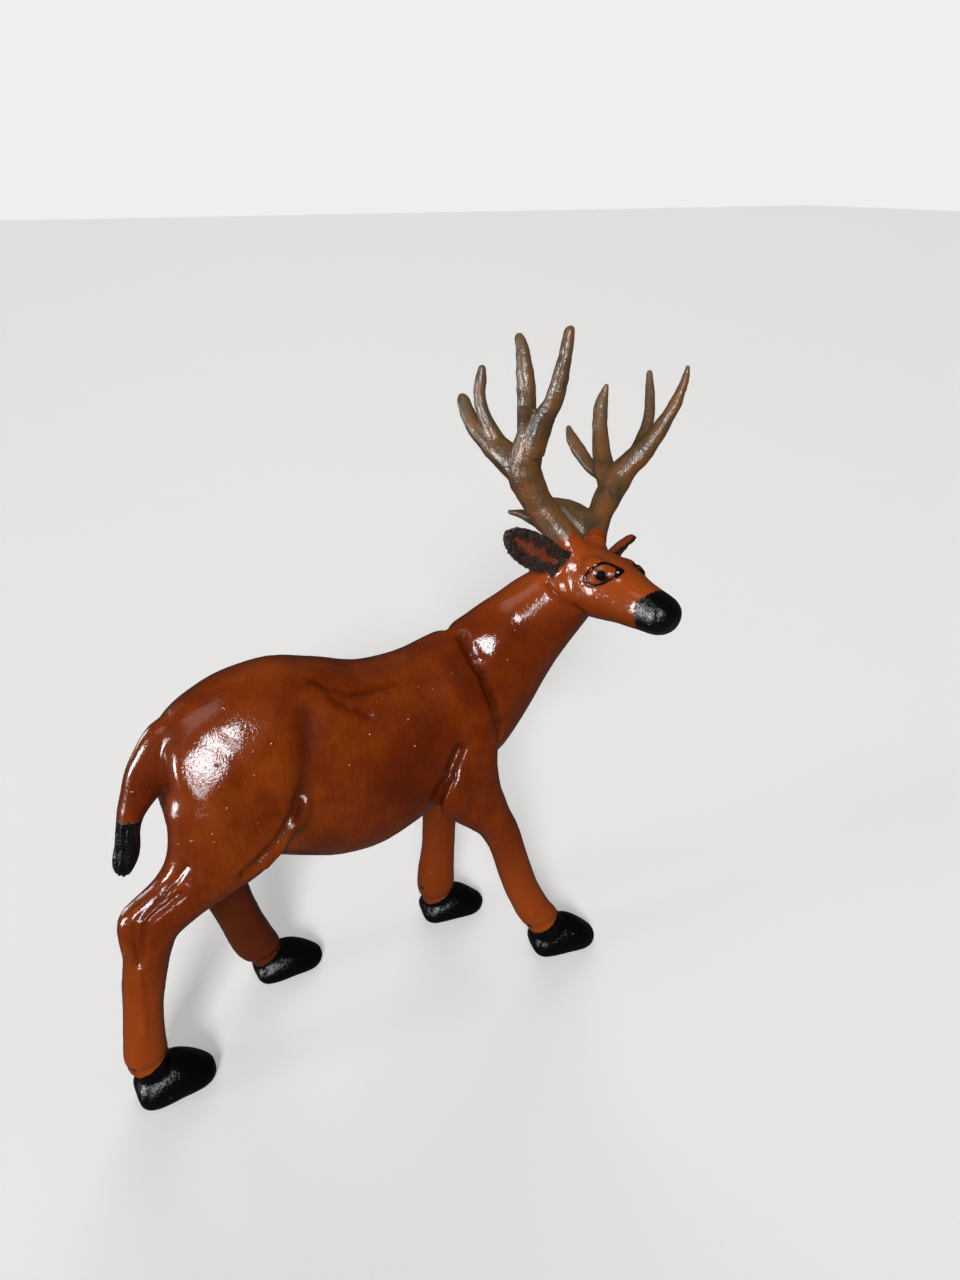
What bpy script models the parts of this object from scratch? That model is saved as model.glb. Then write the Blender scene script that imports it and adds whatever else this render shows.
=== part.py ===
"""Walking deer carved in wood, with a pair of separately carved antlers set on its head.

Every table below is in units of the carving: one unit is a millimetre on a
figure whose back stands 242.5 mm above the ground, and UNIT turns it into metres.
x runs towards the chest, y towards the deer's left side and z up. x = 0 lies
half way between the two right hooves until the last step centres the figure.
"""

import math

import bmesh
import bpy
import numpy as np

# Driving sizes in metres
BACK_HEIGHT = 0.2425
ANTLER_GAP = 0.0003

# Driving sizes in units of the carving
UNIT = BACK_HEIGHT / 242.5
BODY_GRID = 2.0
ANTLER_GRID = 1.1
BODY_TRIANGLES = 7000
ANTLER_TRIANGLES = 1250
HOOF_LENGTH = 44.5
HOOF_WIDTH = 28.0
PEDICLE_RADII = (8.4, 6.8)
ANTLER_FULLNESS = 1.07

# The head turns to the deer's right and tips over a little
HEAD_TURN = -72.0
HEAD_ROLL = 16.0
HEAD_PLACE = (139.2, -17.8, 260.1)

# Trunk stations: x, top, height of the widest line, underside, half width
TRUNK = (
    (-112.0, 209.0, 202.0, 194.0, 6.0),
    (-108.0, 216.5, 199.0, 177.0, 16.0),
    (-101.0, 224.5, 194.0, 160.0, 25.0),
    (-88.0, 232.5, 189.0, 144.0, 32.0),
    (-70.0, 239.5, 185.0, 132.0, 37.0),
    (-45.0, 242.5, 179.0, 121.0, 39.5),
    (-20.0, 236.5, 171.0, 113.5, 41.0),
    (5.0, 228.5, 167.0, 114.5, 41.0),
    (30.0, 228.3, 171.0, 126.0, 39.5),
    (52.0, 234.5, 177.0, 138.0, 36.8),
    (69.0, 238.5, 183.0, 142.0, 31.5),
    (81.0, 235.0, 188.0, 151.0, 24.5),
    (91.0, 224.0, 191.0, 163.0, 16.5),
    (98.0, 208.0, 193.0, 176.0, 7.5),
)

# Neck stations: x, y, z of the middle, half depth, half width
NECK = (
    (30.0, 0.0, 170.0, 20.0, 14.0),
    (42.0, 0.0, 176.0, 35.0, 25.0),
    (57.0, 0.0, 186.0, 44.5, 30.0),
    (78.0, 0.0, 203.0, 40.5, 27.5),
    (94.5, -1.0, 218.0, 34.0, 24.5),
    (109.0, -3.0, 231.5, 29.0, 22.0),
    (120.5, -7.0, 243.5, 25.5, 20.0),
    (129.5, -12.0, 253.5, 22.0, 18.5),
    (137.0, -17.0, 262.0, 17.0, 15.0),
)

# Head stations along the face: forward, top, widest line, underside, half width
HEAD = (
    (-37.0, 0.0, -4.0, -10.0, 6.0),
    (-33.0, 8.0, -3.0, -14.0, 12.0),
    (-24.0, 15.0, 0.0, -17.0, 16.0),
    (-12.0, 20.5, 2.0, -18.5, 18.5),
    (0.0, 22.0, 3.0, -19.0, 19.5),
    (10.0, 21.0, 3.0, -18.5, 19.5),
    (20.0, 19.0, 3.0, -17.5, 19.0),
    (31.0, 15.5, 1.0, -16.5, 16.0),
    (42.0, 11.5, -1.0, -16.0, 13.0),
    (50.0, 9.0, -2.0, -16.0, 12.3),
    (57.5, 7.0, -2.5, -15.0, 12.3),
    (62.5, 3.5, -3.0, -11.5, 9.5),
    (65.5, -1.0, -3.0, -5.0, 3.5),
)

# Ear stations from root to tip: forward, sideways, up, half breadth, cup depth
EAR = (
    (-3.0, 14.0, 7.5, 5.0, 0.0),
    (-5.0, 21.0, 9.5, 7.2, 1.0),
    (-7.0, 28.0, 11.3, 9.2, 2.5),
    (-9.0, 35.0, 13.7, 10.5, 3.8),
    (-10.8, 42.0, 16.1, 10.8, 4.4),
    (-12.5, 49.0, 18.7, 9.9, 4.0),
    (-14.2, 55.0, 21.0, 7.6, 2.4),
    (-15.2, 59.0, 22.8, 4.4, 1.0),
    (-15.7, 61.0, 23.6, 1.7, 0.2),
)
# How far the upper rim of each ear leans forwards, in degrees: right, left
EAR_LEANS = (18.0, 32.0)
EAR_THICKNESS = 5.0

# Leg stations: height, back edge, front edge, y of the middle, half width
HIND_RIGHT = (
    (219.0, -93.0, -62.0, -12.5, 10.5),
    (209.0, -101.0, -56.0, -16.5, 16.0),
    (199.0, -106.0, -50.0, -18.5, 17.5),
    (182.0, -113.0, -43.0, -20.5, 20.5),
    (165.0, -114.0, -43.0, -23.0, 20.0),
    (150.0, -118.5, -50.0, -25.0, 17.5),
    (139.0, -129.0, -62.0, -27.0, 15.0),
    (131.0, -143.0, -76.0, -28.0, 12.5),
    (123.0, -147.0, -96.0, -28.5, 11.0),
    (113.0, -147.5, -115.0, -29.0, 10.0),
    (102.0, -147.5, -121.5, -29.0, 9.5),
    (85.0, -150.5, -127.0, -29.0, 9.0),
    (65.0, -153.0, -131.5, -29.0, 9.0),
    (45.0, -156.0, -133.5, -29.0, 9.5),
    (32.0, -157.5, -133.5, -29.0, 10.5),
    (25.0, -156.0, -133.5, -29.0, 10.5),
    (18.0, -152.0, -134.0, -29.0, 9.5),
    (11.0, -147.0, -136.0, -29.0, 8.0),
)
HIND_LEFT = (
    (219.0, -93.0, -62.0, 12.5, 10.5),
    (209.0, -101.0, -56.0, 16.5, 16.0),
    (199.0, -106.0, -50.0, 18.5, 17.5),
    (182.0, -113.0, -43.0, 20.5, 20.5),
    (165.0, -112.0, -40.0, 23.5, 20.0),
    (150.0, -110.0, -42.0, 26.0, 17.0),
    (138.0, -109.0, -48.0, 28.0, 14.5),
    (126.0, -108.0, -56.0, 29.5, 12.5),
    (114.0, -106.0, -64.0, 30.0, 11.0),
    (102.0, -105.0, -69.0, 30.5, 10.0),
    (88.0, -99.5, -68.5, 31.0, 10.0),
    (70.0, -93.5, -65.5, 31.5, 10.0),
    (52.0, -88.0, -61.0, 32.0, 10.0),
    (36.0, -84.0, -55.5, 33.0, 10.5),
    (24.0, -80.0, -51.5, 33.0, 10.5),
    (12.0, -70.0, -52.0, 33.0, 9.0),
)
FORE_RIGHT = (
    (216.0, 44.0, 66.0, -16.0, 8.0),
    (200.0, 40.0, 73.0, -21.5, 13.5),
    (180.0, 36.0, 76.0, -25.0, 15.0),
    (160.0, 34.5, 75.5, -28.0, 14.0),
    (145.0, 35.0, 77.0, -29.5, 13.0),
    (134.0, 40.0, 80.5, -30.0, 12.0),
    (124.0, 51.0, 84.0, -30.0, 11.0),
    (111.0, 64.0, 89.5, -30.0, 10.0),
    (96.0, 71.5, 94.0, -30.0, 9.5),
    (80.0, 76.0, 98.5, -30.0, 9.0),
    (60.0, 82.0, 105.0, -30.5, 9.0),
    (44.0, 88.0, 112.5, -31.0, 9.5),
    (32.0, 93.5, 120.0, -31.5, 10.0),
    (24.0, 98.5, 124.0, -32.0, 10.0),
    (17.0, 103.0, 124.5, -32.0, 9.5),
    (10.0, 108.0, 124.0, -32.0, 8.0),
)
FORE_LEFT = (
    (216.0, 44.0, 66.0, 16.0, 8.0),
    (200.0, 41.0, 73.0, 21.5, 13.5),
    (180.0, 39.0, 77.0, 25.0, 15.0),
    (160.0, 40.0, 79.0, 28.0, 14.0),
    (145.0, 43.0, 80.0, 29.5, 13.0),
    (130.0, 48.0, 81.0, 30.5, 12.0),
    (114.0, 52.0, 79.5, 31.0, 11.0),
    (98.0, 53.5, 77.5, 31.5, 10.0),
    (80.0, 53.0, 76.0, 32.0, 9.5),
    (60.0, 52.0, 75.0, 32.5, 9.5),
    (44.0, 49.5, 74.5, 33.0, 10.5),
    (32.0, 48.0, 74.5, 33.0, 11.0),
    (22.0, 49.0, 74.0, 33.0, 10.5),
    (12.0, 53.0, 73.0, 33.0, 9.0),
)

# The elbow standing out from each side, in the same columns, for the right side
ELBOW = (
    (173.0, 42.0, 50.0, -33.0, 5.5),
    (165.0, 37.5, 55.0, -34.0, 8.5),
    (155.0, 33.5, 57.0, -34.5, 9.5),
    (146.0, 32.5, 58.0, -34.5, 9.5),
    (139.0, 35.0, 59.0, -34.0, 8.5),
    (134.0, 41.0, 57.0, -33.0, 6.0),
)

# Hooves: x and y of the middle of the sole, the way the toe points in degrees, the
# height, and how high the ring above the hoof lies
HOOVES = (
    (-132.5, -29.0, 6.0, 24.0, 31.0),
    (126.0, -32.0, -10.0, 22.5, 31.5),
    (73.0, 32.5, -6.0, 20.0, 22.0),
    (-47.5, 32.5, 1.0, 19.0, 20.5),
)

# Hoof stations from heel to toe: share of the length, share of height, share of half
# width, and height of the underside, which is cut off where it is below the ground
HOOF = (
    (-0.51, 0.44, 0.46, 4.0),
    (-0.48, 0.58, 0.74, 1.0),
    (-0.38, 0.78, 0.93, -2.0),
    (-0.20, 0.93, 1.00, -3.0),
    (0.00, 1.00, 1.00, -3.0),
    (0.16, 0.88, 0.98, -3.0),
    (0.30, 0.68, 0.88, -3.0),
    (0.41, 0.48, 0.68, -2.0),
    (0.48, 0.35, 0.44, 0.0),
    (0.505, 0.27, 0.24, 1.5),
)

# Tail stations: x, z, half thickness, half width
TAIL = (
    (-94.0, 216.0, 9.5, 12.0),
    (-104.5, 210.5, 11.2, 11.0),
    (-112.3, 199.5, 11.8, 9.8),
    (-117.8, 189.5, 11.7, 9.0),
    (-123.7, 180.0, 8.8, 8.4),
    (-128.0, 172.0, 7.0, 8.2),
    (-131.0, 162.0, 6.3, 8.2),
    (-133.0, 150.0, 6.8, 8.6),
    (-136.2, 141.5, 6.2, 7.8),
    (-138.6, 135.5, 3.8, 5.4),
)

# Where the antlers sit on the head, right and left, and the way that they leave it
SEATS = ((-9.0, 15.0, 21.5), (-9.0, 13.0, 21.5))
SEAT_WAY = (-0.60, 0.40, 0.69)

# Lines carved on the right side: half width, depth (a ridge where it is negative), and
# the points of the line. Those of MIRRORED are carved on the left side too.
MIRRORED = {
    "shoulder crease": (
        3.2,
        3.0,
        ((61.0, -8.5, 238.5), (62.0, -13.2, 235.0), (64.5, -21.0, 225.5), (69.0, -26.5, 214.0)),
    ),
    "shoulder front": (
        3.2,
        3.1,
        ((69.0, -26.5, 214.0), (73.0, -28.5, 203.0), (76.0, -29.0, 190.0), (78.5, -26.0, 176.0)),
    ),
    "behind the foreleg": (
        3.0,
        2.8,
        (
            (47.0, -39.0, 182.0),
            (41.0, -39.0, 170.0),
            (36.0, -38.0, 159.0),
            (34.5, -35.0, 146.0),
            (37.0, -31.0, 136.0),
        ),
    ),
    "flank hollow": (
        9.0,
        2.2,
        ((-38.0, -31.0, 222.0), (-41.5, -36.0, 208.0), (-43.5, -39.0, 196.0), (-45.5, -40.0, 182.0)),
    ),
    "flank line": (
        2.8,
        1.5,
        ((-41.0, -38.0, 211.0), (-44.0, -39.5, 198.0), (-46.5, -40.5, 184.0)),
    ),
    "flank fold": (
        2.8,
        3.0,
        (
            (-46.5, -40.0, 184.0),
            (-52.0, -40.0, 168.0),
            (-61.0, -40.5, 157.0),
            (-72.0, -41.0, 149.0),
            (-81.0, -41.0, 143.0),
        ),
    ),
    "flank edge": (
        3.0,
        -1.8,
        ((-42.5, -38.0, 176.0), (-47.5, -39.0, 163.0), (-57.0, -39.5, 151.0), (-68.0, -40.0, 143.0)),
    ),
}
RIGHT_ONLY = {
    "hock front": (
        2.0,
        2.2,
        ((-134.0, -37.8, 127.0), (-136.5, -38.2, 115.0), (-140.0, -37.8, 103.0)),
    ),
    "hock back": (
        2.0,
        2.2,
        ((-139.5, -36.5, 128.0), (-139.8, -37.3, 116.0), (-140.3, -37.8, 103.0)),
    ),
    "hock tendon": (
        1.8,
        -0.9,
        ((-140.5, -37.8, 99.0), (-142.5, -37.8, 80.0), (-144.0, -37.8, 55.0)),
    ),
    "gaskin back": (
        2.4,
        2.0,
        ((-136.0, -36.0, 131.0), (-123.3, -35.0, 141.5), (-109.7, -36.0, 155.0)),
    ),
    "gaskin front": (
        2.2,
        1.9,
        ((-131.5, -38.0, 130.5), (-123.7, -38.8, 135.5), (-114.0, -39.0, 142.0)),
    ),
    "back dent upper": (
        2.6,
        1.8,
        (
            (-28.7, -16.2, 234.5),
            (-20.5, -20.1, 229.5),
            (-10.2, -21.9, 224.7),
            (3.0, -19.9, 222.3),
            (15.8, -17.5, 222.3),
        ),
    ),
    "back dent lower": (
        2.8,
        1.8,
        ((-21.9, -23.5, 226.7), (-13.5, -27.0, 220.2), (-3.7, -30.0, 213.0)),
    ),
    "neck hollow": (
        8.0,
        1.2,
        ((82.0, -16.0, 257.0), (88.0, -25.0, 250.0), (97.0, -29.0, 238.0)),
    ),
    "jaw": (
        2.6,
        1.6,
        ((113.0, -19.0, 264.0), (115.0, -25.0, 259.5), (120.2, -28.3, 253.8), (128.2, -33.2, 248.5)),
    ),
}

# Brow over each eye, from front to rear: forward, sideways, up and radius, in head axes
BROW = (
    (4.0, 13.0, 11.0, 5.0),
    (12.0, 14.0, 11.5, 6.6),
    (20.0, 13.2, 10.8, 6.8),
    (28.0, 10.5, 9.5, 5.4),
    (34.0, 8.0, 8.0, 3.5),
)
# An eye: its middle in head axes, the directions of its own plane there, and its almond
# in that plane, from the rear corner round over the top
EYE_PLACE = (23.0, 17.0, 9.0)
EYE_ALONG = (0.7789, -0.6272, 0.0)
EYE_ABOVE = (-0.0879, -0.1092, 0.9901)
EYE_RIM = (
    (-8.1, -5.0),
    (-9.0, -2.1),
    (-7.9, 1.1),
    (-5.6, 4.3),
    (-3.1, 6.6),
    (-0.3, 7.8),
    (2.7, 7.7),
    (5.9, 7.1),
    (8.7, 6.4),
    (10.8, 5.6),
    (9.1, 3.2),
    (6.8, 1.2),
    (4.0, -1.3),
    (1.1, -3.6),
    (-2.3, -5.5),
    (-5.6, -6.0),
    (-8.1, -5.0),
)

# Antler branches, each from its root: forward, sideways, up and radius, in head axes
ANTLER_RIGHT = {
    "beam": (
        (-3.0, 11.5, 15.0, 8.4),
        (-8.0, 15.0, 21.0, 8.4),
        (-12.5, 18.5, 26.5, 8.2),
        (-18.0, 23.5, 32.5, 8.3),
        (-23.0, 29.0, 39.5, 8.4),
        (-26.5, 35.0, 47.5, 8.8),
        (-28.5, 41.0, 56.5, 9.0),
        (-26.5, 44.0, 67.0, 8.3),
        (-24.0, 46.0, 76.0, 7.4),
    ),
    "rear beam": (
        (-28.0, 39.0, 54.0, 8.4),
        (-38.5, 44.5, 61.0, 7.9),
        (-47.0, 47.5, 65.5, 7.1),
        (-55.0, 49.5, 69.5, 5.4),
        (-64.5, 51.5, 76.0, 4.6),
        (-71.5, 52.0, 83.0, 3.9),
        (-75.5, 52.0, 88.5, 2.8),
        (-76.5, 52.0, 90.5, 1.4),
    ),
    "second tine": (
        (-42.0, 46.0, 64.0, 5.4),
        (-50.0, 50.5, 73.5, 4.4),
        (-55.5, 54.0, 83.0, 3.6),
        (-58.5, 56.0, 91.5, 3.2),
        (-59.0, 57.0, 99.5, 3.1),
        (-59.0, 57.5, 106.0, 2.3),
        (-59.0, 57.5, 108.0, 1.2),
    ),
    "third tine": (
        (-24.0, 44.0, 70.0, 6.4),
        (-25.0, 50.5, 83.0, 5.2),
        (-23.5, 56.0, 92.5, 4.8),
        (-23.5, 59.0, 101.5, 4.8),
        (-26.0, 61.0, 111.5, 4.2),
        (-28.5, 62.0, 119.0, 3.4),
        (-31.5, 62.5, 124.5, 2.6),
        (-32.5, 62.5, 127.0, 1.4),
    ),
    "front tine": (
        (-23.0, 44.0, 68.0, 7.0),
        (-14.5, 50.0, 85.5, 5.4),
        (-8.5, 53.0, 94.0, 4.9),
        (-5.5, 55.0, 101.0, 4.6),
        (-3.5, 56.5, 110.5, 4.0),
        (-2.5, 57.5, 119.5, 3.5),
        (-2.5, 58.0, 127.0, 3.2),
        (-2.5, 58.0, 132.5, 2.4),
        (-3.0, 58.0, 134.5, 1.2),
    ),
    "brow tine": (
        (-17.0, 18.0, 28.5, 8.2),
        (-30.0, 16.0, 29.0, 5.2),
        (-43.0, 15.0, 28.8, 2.8),
        (-56.0, 15.0, 28.0, 1.2),
    ),
}
ANTLER_LEFT = {
    "beam": (
        (-3.0, 9.0, 15.0, 6.8),
        (-8.0, 12.7, 21.0, 6.8),
        (-12.0, 16.7, 26.5, 6.8),
        (-16.5, 22.3, 33.0, 7.0),
        (-19.5, 28.3, 41.0, 7.4),
        (-21.5, 34.5, 49.0, 8.0),
        (-23.0, 41.0, 57.5, 8.4),
        (-20.5, 44.5, 66.5, 7.4),
        (-15.5, 47.5, 75.5, 6.6),
        (-12.0, 50.0, 83.5, 5.8),
    ),
    "rear beam": (
        (-24.0, 39.0, 54.0, 7.6),
        (-36.5, 44.5, 63.0, 6.3),
        (-46.0, 50.0, 73.0, 5.5),
        (-52.0, 54.0, 81.5, 4.9),
        (-56.5, 56.0, 91.0, 4.6),
        (-59.0, 57.0, 100.0, 4.2),
        (-59.0, 57.5, 107.5, 2.8),
        (-58.5, 57.5, 114.0, 1.3),
    ),
    "second tine": (
        (-31.0, 42.0, 58.0, 5.0),
        (-45.5, 47.0, 60.5, 3.7),
        (-59.0, 50.0, 66.5, 4.1),
        (-68.5, 51.5, 73.0, 4.1),
        (-74.0, 51.5, 78.5, 3.0),
        (-77.5, 51.5, 83.5, 1.2),
    ),
    "third tine": (
        (-16.0, 47.0, 75.0, 5.6),
        (-19.0, 53.5, 90.0, 3.7),
        (-21.5, 57.5, 100.0, 3.2),
        (-25.0, 60.0, 109.0, 2.9),
        (-29.0, 61.5, 118.0, 2.4),
        (-31.5, 62.5, 124.5, 1.9),
        (-32.0, 62.5, 127.0, 1.1),
    ),
    "front tine": (
        (-13.0, 48.5, 79.0, 6.0),
        (-7.5, 52.0, 94.5, 4.7),
        (-5.0, 54.0, 102.5, 4.0),
        (-3.5, 55.5, 111.0, 3.4),
        (-2.5, 57.0, 119.5, 2.8),
        (-2.5, 58.0, 127.0, 2.0),
        (-3.0, 58.0, 133.0, 1.1),
    ),
    "brow tine": (
        (-15.0, 17.5, 27.0, 7.6),
        (-26.0, 16.0, 32.5, 7.4),
        (-38.0, 15.5, 36.0, 5.2),
        (-49.0, 15.5, 37.0, 3.0),
        (-57.0, 15.5, 36.0, 1.3),
    ),
}


def head_axes():
    """Forward, sideways (to the deer's right) and up directions of the turned head."""
    turn = math.radians(HEAD_TURN)
    roll = math.radians(HEAD_ROLL)
    forward = np.array([math.cos(turn), math.sin(turn), 0.0])
    level = np.array([-math.sin(turn), math.cos(turn), 0.0])
    left = math.cos(roll) * level - math.sin(roll) * np.array([0.0, 0.0, 1.0])
    return forward, -left, np.cross(forward, left)


def on_head(point):
    """A point given as forward, sideways and up from the middle of the skull, in body axes."""
    forward, right, up = head_axes()
    return np.array(HEAD_PLACE) + point[0] * forward + point[1] * right + point[2] * up


def smooth_rows(rows, steps):
    """Rows of a table with steps - 1 further rows between each two, on a Catmull-Rom curve."""
    rows = np.array(rows, float)
    padded = np.vstack([2 * rows[0] - rows[1], rows, 2 * rows[-1] - rows[-2]])
    made = []
    for index in range(len(rows) - 1):
        before, start, end, after = padded[index : index + 4]
        for step in range(steps):
            t = step / steps
            made.append(
                0.5
                * (
                    2 * start
                    + (end - before) * t
                    + (2 * before - 5 * start + 4 * end - after) * t**2
                    + (3 * start - before - 3 * end + after) * t**3
                )
            )
    made.append(rows[-1])
    return np.array(made)


def ring(middle, side, up, half_side, half_up, half_down, power=2.2, count=32):
    """One closed section, a superellipse whose upper and lower halves may differ."""
    angle = np.linspace(0, 2 * math.pi, count, endpoint=False)
    across = np.sign(np.cos(angle)) * np.abs(np.cos(angle)) ** (2 / power)
    along = np.sign(np.sin(angle)) * np.abs(np.sin(angle)) ** (2 / power)
    tall = np.where(along > 0, half_up, half_down)
    offset = across[:, None] * half_side * np.asarray(side) + (along * tall)[:, None] * np.asarray(up)
    return np.asarray(middle) + offset


def add_loft(shells, rings):
    """Skins a row of sections and closes both ends with a fan."""
    points = np.vstack(rings + [rings[0].mean(0, keepdims=True), rings[-1].mean(0, keepdims=True)])
    count = len(rings[0])
    faces = []
    for row in range(len(rings) - 1):
        for column in range(count):
            following = (column + 1) % count
            faces.append(
                (
                    row * count + column,
                    row * count + following,
                    (row + 1) * count + following,
                    (row + 1) * count + column,
                )
            )
    first = len(rings) * count
    last = (len(rings) - 1) * count
    for column in range(count):
        following = (column + 1) % count
        faces.append((first, following, column))
        faces.append((first + 1, last + column, last + following))
    shells.append((points, faces))


def path_rings(middles, half_deep, half_wide, wide_axis, power=2.0, count=24):
    """Sections square to a path, as wide as half_wide says along wide_axis.

    Each section takes over the turn of the one before it, so that none twists.
    """
    middles = np.array(middles)
    directions = np.gradient(middles, axis=0)
    directions /= np.linalg.norm(directions, axis=1, keepdims=True)
    side = np.array(wide_axis, float)
    rings = []
    for middle, direction, deep, wide in zip(middles, directions, half_deep, half_wide):
        side = side - side @ direction * direction
        side /= np.linalg.norm(side)
        rings.append(ring(middle, side, np.cross(direction, side), wide, deep, deep, power, count))
    return rings


def trunk_rings():
    rings = []
    for x, top, widest, bottom, half in smooth_rows(TRUNK, 3):
        above = top - widest
        below = widest - bottom
        rings.append(ring((x, 0, widest), (0, 1, 0), (0, 0, 1), half, above, below, 2.15, 48))
    return rings


def neck_rings():
    rows = smooth_rows(NECK, 3)
    return path_rings(rows[:, :3], rows[:, 3], rows[:, 4], (0, 1, 0), 2.1, 40)


def head_rings():
    _, right, up = head_axes()
    rings = []
    for along, top, widest, bottom, half in smooth_rows(HEAD, 3):
        middle = on_head((along, 0, widest))
        rings.append(ring(middle, right, up, half, top - widest, widest - bottom, 2.3, 36))
    return rings


def ear_rings(side):
    """Cupped sections of one ear. side is 1 for the deer's right and -1 for its left."""
    forward, right, up = head_axes()
    rows = smooth_rows(EAR, 2)
    middles = np.array([on_head((f, side * s, u)) for f, s, u, _, _ in rows])
    along = middles[-1] - middles[0]
    along /= np.linalg.norm(along)
    lean = math.radians(EAR_LEANS[0] if side > 0 else EAR_LEANS[1])
    across = math.cos(lean) * up + math.sin(lean) * forward
    across -= across @ along * along
    across /= np.linalg.norm(across)
    facing = side * np.cross(across, along)
    count = 9
    place = np.linspace(-1, 1, count)
    rings = []
    for middle, (_, _, _, half, cup) in zip(middles, rows):
        hollow = middle + place[:, None] * half * across + ((place**2 - 0.4) * cup)[:, None] * facing
        thick = (EAR_THICKNESS / 2 * np.sqrt(np.clip(1 - 0.8 * place**4, 0, 1)))[:, None] * facing
        front = hollow + thick * min(1.0, half / 6.0)
        back = hollow - thick * min(1.0, half / 6.0)
        rings.append(np.vstack([front, back[::-1]]))
    return rings


def mirrored(rows):
    """The same stations on the other side of the body."""
    return [(height, back, front, -y, half) for height, back, front, y, half in rows]


def leg_rings(rows):
    rings = []
    for height, back, front, y, half in smooth_rows(rows, 3):
        middle = ((back + front) / 2, y, height)
        rings.append(ring(middle, (1, 0, 0), (0, 1, 0), (front - back) / 2, half, half, 2.15, 28))
    return rings


def hoof_rings(x, y, heading, height):
    """A blunt slipper, rounded at the heel and reaching a little below the ground."""
    angle = math.radians(heading)
    forward = np.array([math.cos(angle), math.sin(angle), 0])
    across = np.array([-math.sin(angle), math.cos(angle), 0])
    rings = []
    for along, high, wide, bottom in smooth_rows(HOOF, 2):
        top = high * height
        half = wide * HOOF_WIDTH / 2
        widest = bottom + 0.35 * (top - bottom)
        middle = np.array([x, y, widest]) + along * HOOF_LENGTH * forward
        rings.append(ring(middle, across, (0, 0, 1), half, top - widest, widest - bottom, 2.25, 28))
    return rings


def tail_rings():
    rows = smooth_rows(TAIL, 3)
    middles = np.stack([rows[:, 0], np.zeros(len(rows)), rows[:, 1]], axis=1)
    return path_rings(middles, rows[:, 2], rows[:, 3], (0, 1, 0), 2.0, 20)


def mesh_object(name, shells):
    """One object holding all the closed shells, in metres."""
    points = []
    faces = []
    for shell_points, shell_faces in shells:
        start = len(points)
        points.extend(tuple(point) for point in shell_points * UNIT)
        faces.extend(tuple(start + corner for corner in face) for face in shell_faces)
    mesh = bpy.data.meshes.new(name)
    mesh.from_pydata(points, [], faces)
    made = bmesh.new()
    made.from_mesh(mesh)
    bmesh.ops.recalc_face_normals(made, faces=made.faces)
    made.to_mesh(mesh)
    made.free()
    obj = bpy.data.objects.new(name, mesh)
    bpy.context.scene.collection.objects.link(obj)
    return obj


def apply_modifiers(obj):
    """Replaces the object's mesh by what its modifiers make of it."""
    bpy.context.view_layer.update()
    evaluated = obj.evaluated_get(bpy.context.evaluated_depsgraph_get())
    mesh = bpy.data.meshes.new_from_object(evaluated)
    old = obj.data
    obj.modifiers.clear()
    obj.data = mesh
    bpy.data.meshes.remove(old)


def fuse(obj, grid):
    """Melts the overlapping shells of an object into one skin."""
    remesh = obj.modifiers.new("fuse", "REMESH")
    remesh.mode = "VOXEL"
    remesh.voxel_size = grid * UNIT
    apply_modifiers(obj)


def points_of(obj):
    """The vertices of an object in units of the carving."""
    points = np.empty(len(obj.data.vertices) * 3)
    obj.data.vertices.foreach_get("co", points)
    return points.reshape(-1, 3) / UNIT


def set_points(obj, points):
    obj.data.vertices.foreach_set("co", (points * UNIT).ravel())
    obj.data.update()


def relax(obj, rounds, weight):
    """Evens the skin out without shrinking it, by weight at each vertex."""
    edges = np.empty(len(obj.data.edges) * 2, np.int64)
    obj.data.edges.foreach_get("vertices", edges)
    edges = edges.reshape(-1, 2)
    points = points_of(obj)
    count = len(points)
    degree = np.bincount(edges.ravel(), minlength=count).clip(1)[:, None]
    for turn in range(2 * rounds):
        total = np.zeros_like(points)
        for axis in range(3):
            total[:, axis] = np.bincount(edges[:, 0], points[edges[:, 1], axis], count)
            total[:, axis] += np.bincount(edges[:, 1], points[edges[:, 0], axis], count)
        step = 0.55 if turn % 2 == 0 else -0.57
        points += step * weight[:, None] * (total / degree - points)
    set_points(obj, points)


def thin_out(obj, triangles):
    """Collapses edges until about that many triangles are left."""
    obj.data.calc_loop_triangles()
    decimate = obj.modifiers.new("thin_out", "DECIMATE")
    decimate.ratio = min(1.0, triangles / len(obj.data.loop_triangles))
    decimate.use_collapse_triangulate = True
    apply_modifiers(obj)


def cut_flat(obj, place, normal):
    """Cuts off what lies behind a plane and closes the cut with flat faces."""
    made = bmesh.new()
    made.from_mesh(obj.data)
    everything = list(made.verts) + list(made.edges) + list(made.faces)
    bmesh.ops.bisect_plane(
        made,
        geom=everything,
        dist=1e-6,
        plane_co=tuple(np.array(place) * UNIT),
        plane_no=tuple(normal),
        clear_inner=True,
    )
    rim = [edge for edge in made.edges if edge.is_boundary]
    bmesh.ops.contextual_create(made, geom=rim)
    bmesh.ops.triangulate(made, faces=[face for face in made.faces if len(face.verts) > 3])
    bmesh.ops.recalc_face_normals(made, faces=made.faces)
    made.to_mesh(obj.data)
    made.free()


def normals_of(obj):
    normals = np.empty(len(obj.data.vertices) * 3)
    obj.data.vertex_normals.foreach_get("vector", normals)
    return normals.reshape(-1, 3)


def far_from(points, line):
    """Distance of every point from a line of straight pieces."""
    nearest = np.full(len(points), 1e9)
    for start, end in zip(line[:-1], line[1:]):
        start = np.array(start)
        along = np.array(end) - start
        share = np.clip((points - start) @ along / (along @ along), 0, 1)
        away = points - start - share[:, None] * along
        nearest = np.minimum(nearest, np.linalg.norm(away, axis=1))
    return nearest


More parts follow.
